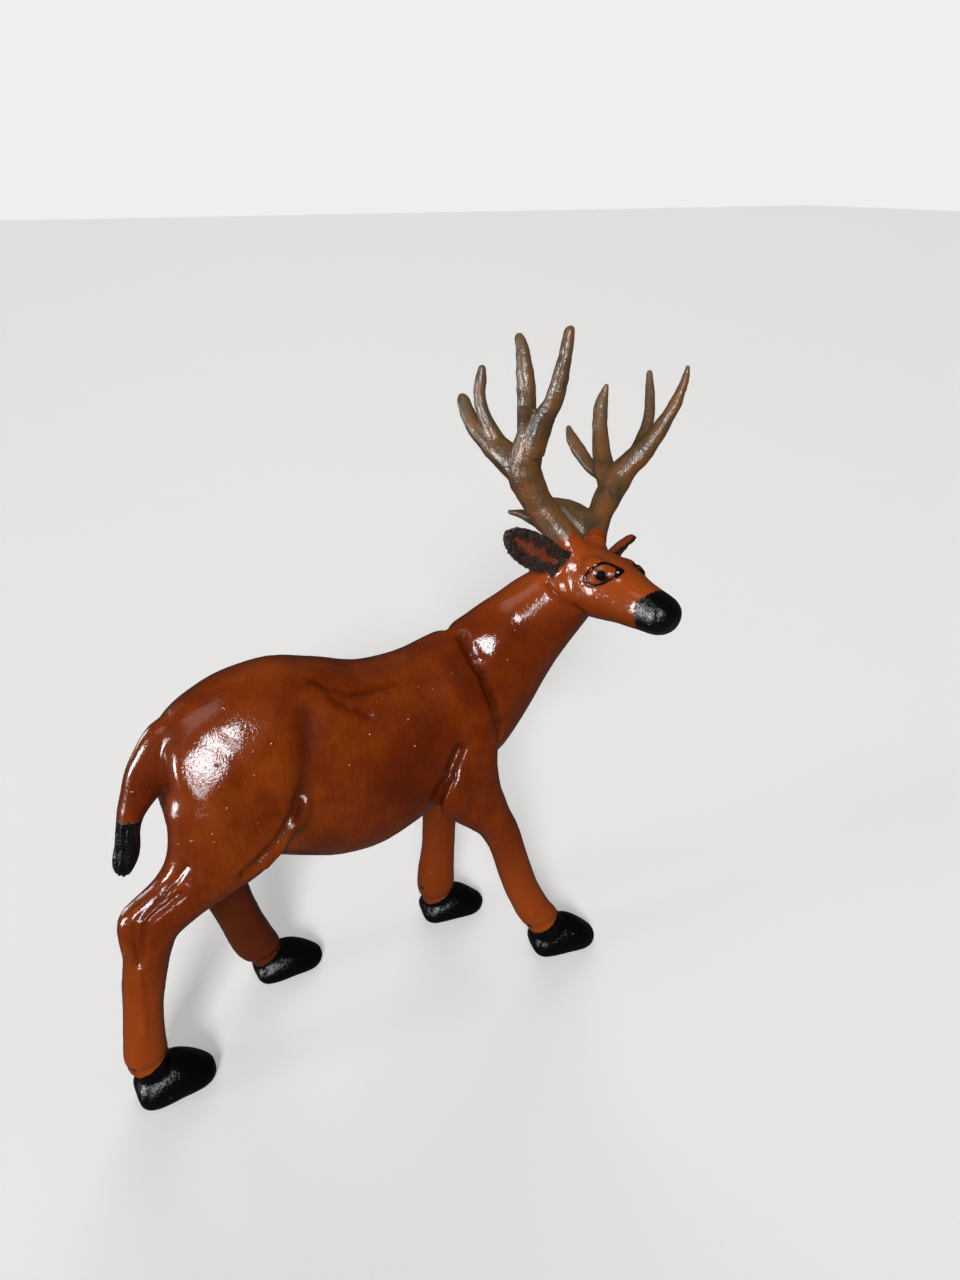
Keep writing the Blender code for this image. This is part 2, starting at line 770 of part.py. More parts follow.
def rim_distances(points):
    """Distance of every point from the rim of an eye, seen square to the eye's plane."""
    forward, right, up = head_axes()
    away = points - np.array(HEAD_PLACE)
    away = np.stack([away @ forward, np.abs(away @ right), away @ up], axis=1) - np.array(EYE_PLACE)
    flat = np.stack([away @ np.array(EYE_ALONG), away @ np.array(EYE_ABOVE), np.zeros(len(away))], axis=1)
    distances = far_from(flat, [(along, above, 0.0) for along, above in EYE_RIM])
    distances[np.abs(away).max(1) > 16] = 50.0
    return distances


def carve(obj, lines):
    """Sinks the skin round the eyes and along lines of (half width, depth, points)."""
    points = points_of(obj)
    normals = normals_of(obj)
    grooves = np.exp(-((rim_distances(points) / 1.5) ** 2))
    ridges = np.zeros(len(points))
    for half, depth, line in lines:
        sunk = depth * np.exp(-((far_from(points, line) / half) ** 2))
        grooves = np.maximum(grooves, sunk)
        ridges = np.minimum(ridges, sunk)
    set_points(obj, points - normals * (grooves + ridges)[:, None])


def coronet_line(x, y, heading, height):
    """The ring carved round a leg just above its hoof, a little lower behind than in front."""
    angle = math.radians(heading)
    line = []
    for turn in np.linspace(0, 2 * math.pi, 17):
        ahead = math.cos(turn) * 13.0 - 11.0
        beside = math.sin(turn) * 11.0
        line.append(
            (
                x + ahead * math.cos(angle) - beside * math.sin(angle),
                y + ahead * math.sin(angle) + beside * math.cos(angle),
                height + 0.15 * (ahead + 10),
            )
        )
    return (1.6, 1.0, line)


def carved_lines():
    """All the carved lines of the body, with those of MIRRORED on both sides."""
    lines = list(MIRRORED.values()) + list(RIGHT_ONLY.values())
    for half, depth, line in MIRRORED.values():
        lines.append((half, depth, [(x, -y, z) for x, y, z in line]))
    for x, y, heading, _, ring_height in HOOVES:
        lines.append(coronet_line(x, y, heading, ring_height))
    return lines


def body_weight(points):
    """How strongly each place is evened out: half as much on the hooves, least on the ears."""
    weight = np.ones(len(points))
    weight[points[:, 2] < 36] = 0.5
    sideways = np.abs((points - np.array(HEAD_PLACE)) @ head_axes()[1])
    weight[(sideways > 22) & (points[:, 2] > 245)] = 0.25
    return weight


def seat(side):
    """Where an antler's flat foot lies on its pedicle, and the direction square to it."""
    forward, sideways, up = SEATS[0 if side > 0 else 1]
    middle = on_head((forward, side * sideways, up))
    way = on_head((SEAT_WAY[0], side * SEAT_WAY[1], SEAT_WAY[2])) - on_head((0, 0, 0))
    return middle, way / np.linalg.norm(way)


def pedicle_rings(side):
    """A short stub from inside the skull to above the seat, where seat_cutter trims it."""
    middle, way = seat(side)
    places = [middle + way * step for step in (-14, -9, -4, 0, 3)]
    radius = PEDICLE_RADII[0 if side > 0 else 1]
    radii = [radius + extra for extra in (3.0, 1.6, 0.4, 0.0, 0.0)]
    return path_rings(places, radii, radii, (0.31, -0.95, 0.0), 2.0, 20)


def material(name, colour, roughness):
    made = bpy.data.materials.new(name)
    made.use_nodes = True
    shader = made.node_tree.nodes["Principled BSDF"]
    shader.inputs["Base Color"].default_value = (*colour, 1.0)
    shader.inputs["Roughness"].default_value = roughness
    return made


def seat_cutter(side):
    """A disc standing on the seat plane, taken away from the body to leave the pedicle flat."""
    middle, way = seat(side)
    radii = [max(PEDICLE_RADII) + 4.0] * 2
    shells = []
    add_loft(shells, path_rings([middle, middle + way * 9], radii, radii, (0.31, -0.95, 0.0), 2.0, 24))
    cutter = mesh_object("seat_cutter_right" if side > 0 else "seat_cutter_left", shells)
    cutter.hide_render = True
    cutter.display_type = "WIRE"
    return cutter


def build_body():
    shells = []
    add_loft(shells, trunk_rings())
    add_loft(shells, neck_rings())
    add_loft(shells, head_rings())
    for side in (1, -1):
        add_loft(shells, ear_rings(side))
    for rows in (HIND_RIGHT, HIND_LEFT, FORE_RIGHT, FORE_LEFT, ELBOW, mirrored(ELBOW)):
        add_loft(shells, leg_rings(rows))
    for x, y, heading, height, _ in HOOVES:
        add_loft(shells, hoof_rings(x, y, heading, height))
    add_loft(shells, tail_rings())
    for side in (1, -1):
        add_loft(shells, pedicle_rings(side))
        add_loft(shells, branch_rings(BROW, side))
    body = mesh_object("body", shells)
    fuse(body, BODY_GRID)
    relax(body, 10, body_weight(points_of(body)))
    carve(body, carved_lines())
    relax(body, 2, np.ones(len(body.data.vertices)))
    thin_out(body, BODY_TRIANGLES)
    cut_flat(body, (0, 0, 0), (0, 0, 1))
    for side in (1, -1):
        cut = body.modifiers.new("seat", "BOOLEAN")
        cut.operation = "DIFFERENCE"
        cut.solver = "EXACT"
        cut.object = seat_cutter(side)
    return body


def branch_rings(rows, side):
    """Round sections of one antler branch. side is 1 for the deer's right and -1 for its left."""
    rows = smooth_rows(rows, 3)
    middles = [on_head((f, side * s, u)) for f, s, u, _ in rows]
    return path_rings(middles, rows[:, 3], rows[:, 3], (0.31, -0.95, 0.0), 2.0, 16)


def build_antler(name, branches, side):
    shells = []
    for rows in branches.values():
        rings = branch_rings([(f, s, u, ANTLER_FULLNESS * radius) for f, s, u, radius in rows], side)
        add_loft(shells, rings)
    antler = mesh_object(name, shells)
    fuse(antler, ANTLER_GRID)
    relax(antler, 6, np.ones(len(antler.data.vertices)))
    thin_out(antler, ANTLER_TRIANGLES)
    middle, way = seat(side)
    cut_flat(antler, middle + way * ANTLER_GAP / UNIT, way)
    return antler


def to_collection(objects, name):
    """Moves objects into a collection of their own."""
    collection = bpy.data.collections.new(name)
    bpy.context.scene.collection.children.link(collection)
    for obj in objects:
        for user in list(obj.users_collection):
            user.objects.unlink(obj)
        collection.objects.link(obj)


def centre_on_ground(objects, measured):
    """Shifts the objects so that the figure's box stands centred over the origin."""
    corners = np.vstack([points_of(obj) for obj in measured])
    low = corners.min(0)
    high = corners.max(0)
    shift = -np.array([(low[0] + high[0]) / 2, (low[1] + high[1]) / 2, 0.0])
    for obj in objects:
        set_points(obj, points_of(obj) + shift)


def main():
    for obj in list(bpy.data.objects):
        bpy.data.objects.remove(obj)
    body = build_body()
    antlers = [
        build_antler("antler_right", ANTLER_RIGHT, 1),
        build_antler("antler_left", ANTLER_LEFT, -1),
    ]
    body.data.materials.append(material("lacquered_wood", (0.22, 0.055, 0.008), 0.25))
    for antler in antlers:
        antler.data.materials.append(material(antler.name + "_wood", (0.12, 0.075, 0.035), 0.3))
    cutters = [obj for obj in bpy.data.objects if obj.hide_render]
    centre_on_ground([body, *antlers, *cutters], [body, *antlers])
    to_collection([body, *antlers], "carved_deer")
    to_collection(cutters, "cutters")


main()
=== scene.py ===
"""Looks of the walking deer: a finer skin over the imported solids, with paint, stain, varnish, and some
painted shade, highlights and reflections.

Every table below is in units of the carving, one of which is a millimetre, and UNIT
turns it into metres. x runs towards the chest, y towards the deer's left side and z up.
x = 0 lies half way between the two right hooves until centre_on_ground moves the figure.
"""

import math

import bmesh
import bpy
import numpy as np
from mathutils import Matrix, Vector, noise


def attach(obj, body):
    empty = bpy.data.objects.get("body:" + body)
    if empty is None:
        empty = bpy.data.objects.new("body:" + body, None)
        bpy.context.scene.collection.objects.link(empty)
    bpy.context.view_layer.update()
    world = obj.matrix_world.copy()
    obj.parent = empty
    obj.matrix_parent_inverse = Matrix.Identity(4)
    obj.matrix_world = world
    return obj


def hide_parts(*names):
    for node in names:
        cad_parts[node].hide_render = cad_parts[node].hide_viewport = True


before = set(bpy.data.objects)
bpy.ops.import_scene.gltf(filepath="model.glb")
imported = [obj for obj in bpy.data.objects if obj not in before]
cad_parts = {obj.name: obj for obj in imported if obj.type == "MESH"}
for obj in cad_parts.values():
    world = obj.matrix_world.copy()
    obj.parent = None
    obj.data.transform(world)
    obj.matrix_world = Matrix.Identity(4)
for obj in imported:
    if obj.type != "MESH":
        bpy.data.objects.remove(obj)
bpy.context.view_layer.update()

# Sizes in units of the carving
UNIT = 0.001
BODY_GRID = 1.58
ANTLER_GRID = 0.85
HOOF_LENGTH = 44.5
HOOF_WIDTH = 28
PEDICLE_RADII = (8.4, 6.8)
ANTLER_FULLNESS = 1.07
# The way across which every section of an antler is measured
ANTLER_ACROSS = (0.31, -0.95, 0)

# The head turns to the deer's right and tips over a little
HEAD_TURN = -72
HEAD_ROLL = 16
HEAD_PLACE = (139.2, -17.8, 260.1)

# Trunk stations: x, top, height of the widest line, underside, half width
TRUNK = (
    (-112, 209, 202, 194, 6), (-108, 216.5, 199, 177, 16), (-101, 224.5, 194, 160, 25),
    (-88, 232.5, 189, 144, 32), (-70, 239.5, 185, 132, 37), (-45, 242.5, 179, 121, 39.5),
    (-20, 236.5, 171, 113.5, 41), (5, 228.5, 167, 114.5, 41), (30, 228.3, 171, 126, 39.5),
    (52, 234.5, 177, 138, 36.8), (69, 238.5, 183, 142, 31.5), (81, 235, 188, 151, 24.5),
    (91, 224, 191, 163, 16.5), (98, 208, 193, 176, 7.5),
)

# Neck stations: x, y, z of the middle, half depth, half width
NECK = (
    (30, 0, 170, 20, 14), (42, 0, 176, 35, 25), (57, 0, 186, 44.5, 30), (78, 0, 203, 40.5, 27.5),
    (94.5, -1, 218, 34, 24.5), (109, -3, 231.5, 29, 22), (120.5, -7, 243.5, 25.5, 20),
    (129.5, -12, 253.5, 22, 18.5), (137, -17, 262, 17, 15),
)

# Head stations along the face: forward, top, widest line, underside, half width
HEAD = (
    (-37, 0, -4, -10, 6), (-33, 8, -3, -14, 12), (-24, 15, 0, -17, 16), (-12, 20.5, 2, -18.5, 18.5),
    (0, 22, 3, -19, 19.5), (10, 21, 3, -18.5, 19.5), (20, 19, 3, -17.5, 19), (31, 15.5, 1, -16.5, 16),
    (42, 11.5, -1, -16, 13), (50, 9, -2, -16, 12.3), (57.5, 7, -2.5, -15, 12.3),
    (62.5, 3.5, -3, -11.5, 9.5), (65.5, -1, -3, -5, 3.5),
)

# Ear stations from root to tip: forward, sideways, up, half breadth, cup depth
EAR = (
    (-3, 14, 7.5, 5, 0), (-5, 21, 9.5, 7.2, 1), (-7, 28, 11.3, 9.2, 2.5), (-9, 35, 13.7, 10.5, 3.8),
    (-10.8, 42, 16.1, 10.8, 4.4), (-12.5, 49, 18.7, 9.9, 4), (-14.2, 55, 21, 7.6, 2.4),
    (-15.2, 59, 22.8, 4.4, 1), (-15.7, 61, 23.6, 1.7, 0.2),
)
# How far the upper rim of each ear leans forwards, in degrees: right, left
EAR_LEANS = (18, 32)
EAR_THICKNESS = 5

# Leg stations: height, back edge, front edge, y of the middle, half width
HIND_RIGHT = (
    (219, -93, -62, -12.5, 10.5), (209, -101, -56, -16.5, 16), (199, -106, -50, -18.5, 17.5),
    (182, -113, -43, -20.5, 20.5), (165, -114, -43, -23, 20), (150, -118.5, -50, -25, 17.5),
    (139, -129, -62, -27, 15), (131, -143, -76, -28, 12.5), (123, -147, -96, -28.5, 11),
    (113, -147.5, -115, -29, 10), (102, -147.5, -121.5, -29, 9.5), (85, -150.5, -127, -29, 9),
    (65, -153, -131.5, -29, 9), (45, -156, -133.5, -29, 9.5), (32, -157.5, -133.5, -29, 10.5),
    (25, -156, -133.5, -29, 10.5), (18, -152, -134, -29, 9.5), (11, -147, -136, -29, 8),
)
HIND_LEFT = (
    (219, -93, -62, 12.5, 10.5), (209, -101, -56, 16.5, 16), (199, -106, -50, 18.5, 17.5),
    (182, -113, -43, 20.5, 20.5), (165, -112, -40, 23.5, 20), (150, -110, -42, 26, 17),
    (138, -109, -48, 28, 14.5), (126, -108, -56, 29.5, 12.5), (114, -106, -64, 30, 11),
    (102, -105, -69, 30.5, 10), (88, -99.5, -68.5, 31, 10), (70, -93.5, -65.5, 31.5, 10),
    (52, -88, -61, 32, 10), (36, -84, -55.5, 33, 10.5), (24, -80, -51.5, 33, 10.5), (12, -70, -52, 33, 9),
)
FORE_RIGHT = (
    (216, 44, 66, -16, 8), (200, 40, 73, -21.5, 13.5), (180, 36, 76, -25, 15), (160, 34.5, 75.5, -28, 14),
    (145, 35, 77, -29.5, 13), (134, 40, 80.5, -30, 12), (124, 51, 84, -30, 11), (111, 64, 89.5, -30, 10),
    (96, 71.5, 94, -30, 9.5), (80, 76, 98.5, -30, 9), (60, 82, 105, -30.5, 9), (44, 88, 112.5, -31, 9.5),
    (32, 93.5, 120, -31.5, 10), (24, 98.5, 124, -32, 10), (17, 103, 124.5, -32, 9.5),
    (10, 108, 124, -32, 8),
)
FORE_LEFT = (
    (216, 44, 66, 16, 8), (200, 41, 73, 21.5, 13.5), (180, 39, 77, 25, 15), (160, 40, 79, 28, 14),
    (145, 43, 80, 29.5, 13), (130, 48, 81, 30.5, 12), (114, 52, 79.5, 31, 11), (98, 53.5, 77.5, 31.5, 10),
    (80, 53, 76, 32, 9.5), (60, 52, 75, 32.5, 9.5), (44, 49.5, 74.5, 33, 10.5), (32, 48, 74.5, 33, 11),
    (22, 49, 74, 33, 10.5), (12, 53, 73, 33, 9),
)

# The elbow standing out from each side, in the same columns, for the right side
ELBOW = (
    (173, 42, 50, -33, 5.5), (165, 37.5, 55, -34, 8.5), (155, 33.5, 57, -34.5, 9.5),
    (146, 32.5, 58, -34.5, 9.5), (139, 35, 59, -34, 8.5), (134, 41, 57, -33, 6),
)

# Hooves: x and y of the middle of the sole, the way the toe points in degrees, the
# height, and how high the ring above the hoof lies
HOOVES = (
    (-132.5, -29, 6, 24, 31), (126, -32, -10, 22.5, 31.5), (73, 32.5, -6, 20, 22),
    (-47.5, 32.5, 1, 19, 20.5),
)

# Hoof stations from heel to toe: share of the length, share of height, share of half
# width, and height of the underside, which is cut off where it is below the ground
HOOF = (
    (-0.51, 0.44, 0.46, 4), (-0.48, 0.58, 0.74, 1), (-0.38, 0.78, 0.93, -2), (-0.2, 0.93, 1, -3),
    (0, 1, 1, -3), (0.16, 0.88, 0.98, -3), (0.3, 0.68, 0.88, -3), (0.41, 0.48, 0.68, -2),
    (0.48, 0.35, 0.44, 0), (0.505, 0.27, 0.24, 1.5),
)

# The ring above each hoof: reach ahead and to the side, how far behind the hoof's middle
# it lies, and its half width and depth
CORONET_REACH = (13, 11)
CORONET_BACK = 11
CORONET_CUT = (1.6, 1)
# Everything below this height is hoof, and the ears lie above this one
HOOVES_BELOW = 36
EARS_ABOVE = 245

# Tail stations: x, z, half thickness, half width
TAIL = (
    (-94, 216, 9.5, 12), (-104.5, 210.5, 11.2, 11), (-112.3, 199.5, 11.8, 9.8), (-117.8, 189.5, 11.7, 9),
    (-123.7, 180, 8.8, 8.4), (-128, 172, 7, 8.2), (-131, 162, 6.3, 8.2), (-133, 150, 6.8, 8.6),
    (-136.2, 141.5, 6.2, 7.8), (-138.6, 135.5, 3.8, 5.4),
)

# Where the antlers sit on the head, right and left, and the way that they leave it
SEATS = ((-9, 15, 21.5), (-9, 13, 21.5))
SEAT_WAY = (-0.6, 0.4, 0.69)

# Lines carved on the right side: half width, depth (a ridge where it is negative), and
# the points of the line. Those of MIRRORED are carved on the left side too.
MIRRORED = {
    "shoulder crease": (3.2, 3, (
        (61, -8.5, 238.5), (62, -13.2, 235), (64.5, -21, 225.5), (69, -26.5, 214),
    )),
    "shoulder front": (3.2, 3.1, ((69, -26.5, 214), (73, -28.5, 203), (76, -29, 190), (78.5, -26, 176))),
    "behind the foreleg": (3, 2.8, (
        (47, -39, 182), (41, -39, 170), (36, -38, 159), (34.5, -35, 146), (37, -31, 136),
    )),
    "flank hollow": (9, 2.2, ((-38, -31, 222), (-41.5, -36, 208), (-43.5, -39, 196), (-45.5, -40, 182))),
    "flank line": (2.8, 1.5, ((-41, -38, 211), (-44, -39.5, 198), (-46.5, -40.5, 184))),
    "flank fold": (2.8, 3, (
        (-46.5, -40, 184), (-52, -40, 168), (-61, -40.5, 157), (-72, -41, 149), (-81, -41, 143),
    )),
    "flank edge": (3, -1.8, ((-42.5, -38, 176), (-47.5, -39, 163), (-57, -39.5, 151), (-68, -40, 143))),
}
RIGHT_ONLY = {
    "hock front": (2, 2.2, ((-134, -37.8, 127), (-136.5, -38.2, 115), (-140, -37.8, 103))),
    "hock back": (2, 2.2, ((-139.5, -36.5, 128), (-139.8, -37.3, 116), (-140.3, -37.8, 103))),
    "hock tendon": (1.8, -0.9, ((-140.5, -37.8, 99), (-142.5, -37.8, 80), (-144, -37.8, 55))),
    "gaskin back": (2.4, 2, ((-136, -36, 131), (-123.3, -35, 141.5), (-109.7, -36, 155))),
    "gaskin front": (2.2, 1.9, ((-131.5, -38, 130.5), (-123.7, -38.8, 135.5), (-114, -39, 142))),
    "back dent upper": (2.6, 1.8, (
        (-28.7, -16.2, 234.5), (-20.5, -20.1, 229.5), (-10.2, -21.9, 224.7), (3, -19.9, 222.3),
        (15.8, -17.5, 222.3),
    )),
    "back dent lower": (2.8, 1.8, ((-21.9, -23.5, 226.7), (-13.5, -27, 220.2), (-3.7, -30, 213))),
    "neck hollow": (8, 1.2, ((82, -16, 257), (88, -25, 250), (97, -29, 238))),
    "jaw": (2.6, 1.6, ((113, -19, 264), (115, -25, 259.5), (120.2, -28.3, 253.8), (128.2, -33.2, 248.5))),
}

# Brow over each eye, from front to rear: forward, sideways, up and radius, in head axes
BROW = ((4, 13, 11, 5), (12, 14, 11.5, 6.6), (20, 13.2, 10.8, 6.8), (28, 10.5, 9.5, 5.4), (34, 8, 8, 3.5))
# An eye: its middle in head axes, the directions of its own plane there, and its almond
# in that plane, from the rear corner round over the top
EYE_PLACE = (23, 17, 9)
EYE_ALONG = (0.7789, -0.6272, 0)
EYE_ABOVE = (-0.0879, -0.1092, 0.9901)
EYE_RIM = (
    (-8.1, -5), (-9, -2.1), (-7.9, 1.1), (-5.6, 4.3), (-3.1, 6.6), (-0.3, 7.8), (2.7, 7.7), (5.9, 7.1),
    (8.7, 6.4), (10.8, 5.6), (9.1, 3.2), (6.8, 1.2), (4, -1.3), (1.1, -3.6), (-2.3, -5.5), (-5.6, -6),
    (-8.1, -5),
)

# Antler branches, each from its root: forward, sideways, up and radius, in head axes
ANTLER_RIGHT = {
    "beam": (
        (-3, 11.5, 15, 8.4), (-8, 15, 21, 8.4), (-12.5, 18.5, 26.5, 8.2), (-18, 23.5, 32.5, 8.3),
        (-23, 29, 39.5, 8.4), (-26.5, 35, 47.5, 8.8), (-28.5, 41, 56.5, 9), (-26.5, 44, 67, 8.3),
        (-24, 46, 76, 7.4),
    ),
    "rear beam": (
        (-28, 39, 54, 8.4), (-38.5, 44.5, 61, 7.9), (-47, 47.5, 65.5, 7.1), (-55, 49.5, 69.5, 5.4),
        (-64.5, 51.5, 76, 4.6), (-71.5, 52, 83, 3.9), (-75.5, 52, 88.5, 2.8), (-76.5, 52, 90.5, 1.4),
    ),
    "second tine": (
        (-42, 46, 64, 5.4), (-50, 50.5, 73.5, 4.4), (-55.5, 54, 83, 3.6), (-58.5, 56, 91.5, 3.2),
        (-59, 57, 99.5, 3.1), (-59, 57.5, 106, 2.3), (-59, 57.5, 108, 1.2),
    ),
    "third tine": (
        (-24, 44, 70, 6.4), (-25, 50.5, 83, 5.2), (-23.5, 56, 92.5, 4.8), (-23.5, 59, 101.5, 4.8),
        (-26, 61, 111.5, 4.2), (-28.5, 62, 119, 3.4), (-31.5, 62.5, 124.5, 2.6), (-32.5, 62.5, 127, 1.4),
    ),
    "front tine": (
        (-23, 44, 68, 7), (-14.5, 50, 85.5, 5.4), (-8.5, 53, 94, 4.9), (-5.5, 55, 101, 4.6),
        (-3.5, 56.5, 110.5, 4), (-2.5, 57.5, 119.5, 3.5), (-2.5, 58, 127, 3.2), (-2.5, 58, 132.5, 2.4),
        (-3, 58, 134.5, 1.2),
    ),
    "brow tine": ((-17, 18, 28.5, 8.2), (-30, 16, 29, 5.2), (-43, 15, 28.8, 2.8), (-56, 15, 28, 1.2)),
}
ANTLER_LEFT = {
    "beam": (
        (-3, 9, 15, 6.8), (-8, 12.7, 21, 6.8), (-12, 16.7, 26.5, 6.8), (-16.5, 22.3, 33, 7),
        (-19.5, 28.3, 41, 7.4), (-21.5, 34.5, 49, 8), (-23, 41, 57.5, 8.4), (-20.5, 44.5, 66.5, 7.4),
        (-15.5, 47.5, 75.5, 6.6), (-12, 50, 83.5, 5.8),
    ),
    "rear beam": (
        (-24, 39, 54, 7.6), (-36.5, 44.5, 63, 6.3), (-46, 50, 73, 5.5), (-52, 54, 81.5, 4.9),
        (-56.5, 56, 91, 4.6), (-59, 57, 100, 4.2), (-59, 57.5, 107.5, 2.8), (-58.5, 57.5, 114, 1.3),
    ),
    "second tine": (
        (-31, 42, 58, 5), (-45.5, 47, 60.5, 3.7), (-59, 50, 66.5, 4.1), (-68.5, 51.5, 73, 4.1),
        (-74, 51.5, 78.5, 3), (-77.5, 51.5, 83.5, 1.2),
    ),
    "third tine": (
        (-16, 47, 75, 5.6), (-19, 53.5, 90, 3.7), (-21.5, 57.5, 100, 3.2), (-25, 60, 109, 2.9),
        (-29, 61.5, 118, 2.4), (-31.5, 62.5, 124.5, 1.9), (-32, 62.5, 127, 1.1),
    ),
    "front tine": (
        (-13, 48.5, 79, 6), (-7.5, 52, 94.5, 4.7), (-5, 54, 102.5, 4), (-3.5, 55.5, 111, 3.4),
        (-2.5, 57, 119.5, 2.8), (-2.5, 58, 127, 2), (-3, 58, 133, 1.1),
    ),
    "brow tine": (
        (-15, 17.5, 27, 7.6), (-26, 16, 32.5, 7.4), (-38, 15.5, 36, 5.2), (-49, 15.5, 37, 3),
        (-57, 15.5, 36, 1.3),
    ),
}

# How high the black of each hoof reaches ten units behind the hoof's middle
HOOF_PAINT = (29, 29.5, 20, 18.5)

# Black tuft of the tail: its top, its foremost place and its reach to each side
TUFT_TOP = 170.5
TUFT_FRONT = -118
TUFT_SIDE = 14
# Where the black of the muzzle ends
MUZZLE_EDGE = 46
# Black dots of the dew claws
DEW_CLAWS = (
    (-154.4, -36.6, 30.5), (-155.5, -22, 30.5), (96.5, -37.7, 30.5), (96.5, -24.5, 30.5), (48.5, 28.5, 31),
    (48.5, 38.5, 31), (-79.5, 27, 25), (-79.5, 38.5, 25),
)

# Broad places painted darker on both sides: painted shade down the flank hollow, a painted dark reflection
# behind the shoulder, and a darker patch on top of the shoulder. Columns: half width, strength and line
SHADE_AND_REFLECTION_PATCHES = (
    (6.5, 0.65, ((-38, -29, 222), (-42, -36, 200), (-46, -38, 178), (-50, -38, 160))),
    (17, 0.5, ((30, -35, 200), (22, -38, 188), (10, -41, 168))),
    (10, 0.45, ((52, -20, 226), (58, -26, 212))),
)

# Places evened out so that the varnish mirrors one window there: middle, way that it faces,
# how round it stays across and along, and how far it is full and where it ends
EVENED = (
    ((-93, -30.3, 206.6), (-0.263, -0.84, 0.475), (130, 100), (10, 23)),
    ((74.66, -17.98, 233.92), (-0.403, -0.798, 0.448), (60, 60), (3, 11)),
)

# Colours as a screen shows them, 0 to 255; STAIN and GLAZE run over the clouds of their wood
STAIN = ((0.34, (96, 32, 2)), (0.50, (123, 45, 4)), (0.64, (148, 63, 7)))
LIGHT_STAIN = (172, 75, 20)
FAR_LEG_SHADE = (68, 23, 9)
PAINTED_SHADE_COLOUR = (66, 15, 2)
CREASE_SHADE_AND_STAIN = (38, 10, 2)
BLACK_PAINT = (7, 7, 9)
EAR_STAIN = (104, 44, 16)
EAR_BLACK = (10, 7, 8)
EAR_SPECKS_AND_SHEEN = (150, 84, 58)
EYE_WHITE = (140, 62, 18)
EYE_REAR_HIGHLIGHT = (186, 104, 56)
EYE_TOP_HIGHLIGHT = (196, 132, 104)
EYE_BLACK = (9, 7, 7)
EYE_PAINTED_REFLECTION = (226, 206, 196)
GLAZE = (
    (0.34, (76, 58, 38)), (0.45, (102, 75, 46)), (0.54, (117, 81, 43)), (0.64, (136, 82, 34)),
)
BARE_STAIN = (142, 74, 24)
GREY_GLAZE = (126, 108, 88)
FOOT_STAIN = (150, 62, 12)
# Height of the relief in the varnish, in metres, and how strongly the varnish bends light
BODY_RELIEF = 0.00035
ANTLER_RELIEF = 0.0005
VARNISH_IOR = 1.5

# Lamps for the skin: azimuth, elevation, strength, width in degrees and colour
SUNS = {
    "key_light": (-118, 28, 2.3, 15, (0.98, 0.99, 1)),
    "rear_light": (176, 10, 0.6, 14, (0.93, 0.97, 1)),
    "fill_light": (70, 32, 0.6, 40, (1, 1, 1)),
}
# Windows for the varnish: azimuth, elevation, distance, width, height, glow and colour
WINDOWS = {
    "near_window": (-116, 27, 4, 16, 20, 25, (0.91, 0.96, 1)),
    "low_window": (-123, 5, 1.6, 12, 14, 12, (0.93, 0.97, 1)),
    "rear_window": (178, 4, 1.2, 14, 24, 26, (0.95, 0.98, 1)),
    "far_window": (128, 2, 1.2, 14, 16, 6, (0.95, 0.98, 1)),
    "top_window": (179, 52, 2, 26, 20, 1.2, (1, 0.98, 0.96)),
}
# The place that the windows' distances start from, and the floor's reach, in metres
WINDOWS_FROM = (0, 0, 0.22)
FLOOR_REACH = 12
# How many waves make up the unevenness of a skin
WAVES = 14
# How near to a cut, in metres, a corner counts as lying on it
CUT_WIDTH = 1e-6

# The photograph's viewpoint in metres, and its directions to the right and ahead
CAMERA_PLACE = (-0.1877, -0.4534, 0.4760)
CAMERA_RIGHT = (0.8905, -0.4550, 0)
CAMERA_AHEAD = (0.40896, 0.80036, -0.43837)


def head_axes():
    """Forward, sideways (to the deer's right) and up directions of the turned head."""
    turn = math.radians(HEAD_TURN)
    roll = math.radians(HEAD_ROLL)
    forward = np.array([math.cos(turn), math.sin(turn), 0.0])
    level = np.array([-math.sin(turn), math.cos(turn), 0.0])
    left = math.cos(roll) * level - math.sin(roll) * np.array([0.0, 0.0, 1.0])
    return forward, -left, np.cross(forward, left)


def on_head(point):
    """A point given as forward, sideways and up from the middle of the skull, in body axes."""
    forward, right, up = head_axes()
    return np.array(HEAD_PLACE) + point[0] * forward + point[1] * right + point[2] * up


def smooth_rows(rows, steps):
    """Rows of a table with steps - 1 further rows between each two, on a Catmull-Rom curve."""
    rows = np.array(rows, float)
    padded = np.vstack([2 * rows[0] - rows[1], rows, 2 * rows[-1] - rows[-2]])
    made = []
    for index in range(len(rows) - 1):
        before, start, end, after = padded[index : index + 4]
        for step in range(steps):
            t = step / steps
            square = (2 * before - 5 * start + 4 * end - after) * t**2
            cubic = (3 * start - before - 3 * end + after) * t**3
            made.append(0.5 * (2 * start + (end - before) * t + square + cubic))
    made.append(rows[-1])
    return np.array(made)


def ring(middle, side, up, half_side, half_up, half_down, power, count):
    """One closed section, a superellipse whose upper and lower halves may differ."""
    angle = np.linspace(0, 2 * math.pi, count, endpoint=False)
    across = np.sign(np.cos(angle)) * np.abs(np.cos(angle)) ** (2 / power)
    along = np.sign(np.sin(angle)) * np.abs(np.sin(angle)) ** (2 / power)
    tall = np.where(along > 0, half_up, half_down)
    offset = across[:, None] * half_side * np.asarray(side) + (along * tall)[:, None] * np.asarray(up)
    return np.asarray(middle) + offset


def add_loft(shells, rings):
    """Skins a row of sections and closes both ends with a fan."""
    points = np.vstack(rings + [rings[0].mean(0, keepdims=True), rings[-1].mean(0, keepdims=True)])
    count = len(rings[0])
    faces = []
    for row in range(len(rings) - 1):
        for column in range(count):
            following = (column + 1) % count
            corners = (column, following, count + following, count + column)
            faces.append(tuple(row * count + corner for corner in corners))
    first = len(rings) * count
    last = (len(rings) - 1) * count
    for column in range(count):
        following = (column + 1) % count
        faces.append((first, following, column))
        faces.append((first + 1, last + column, last + following))
    shells.append((points, faces))


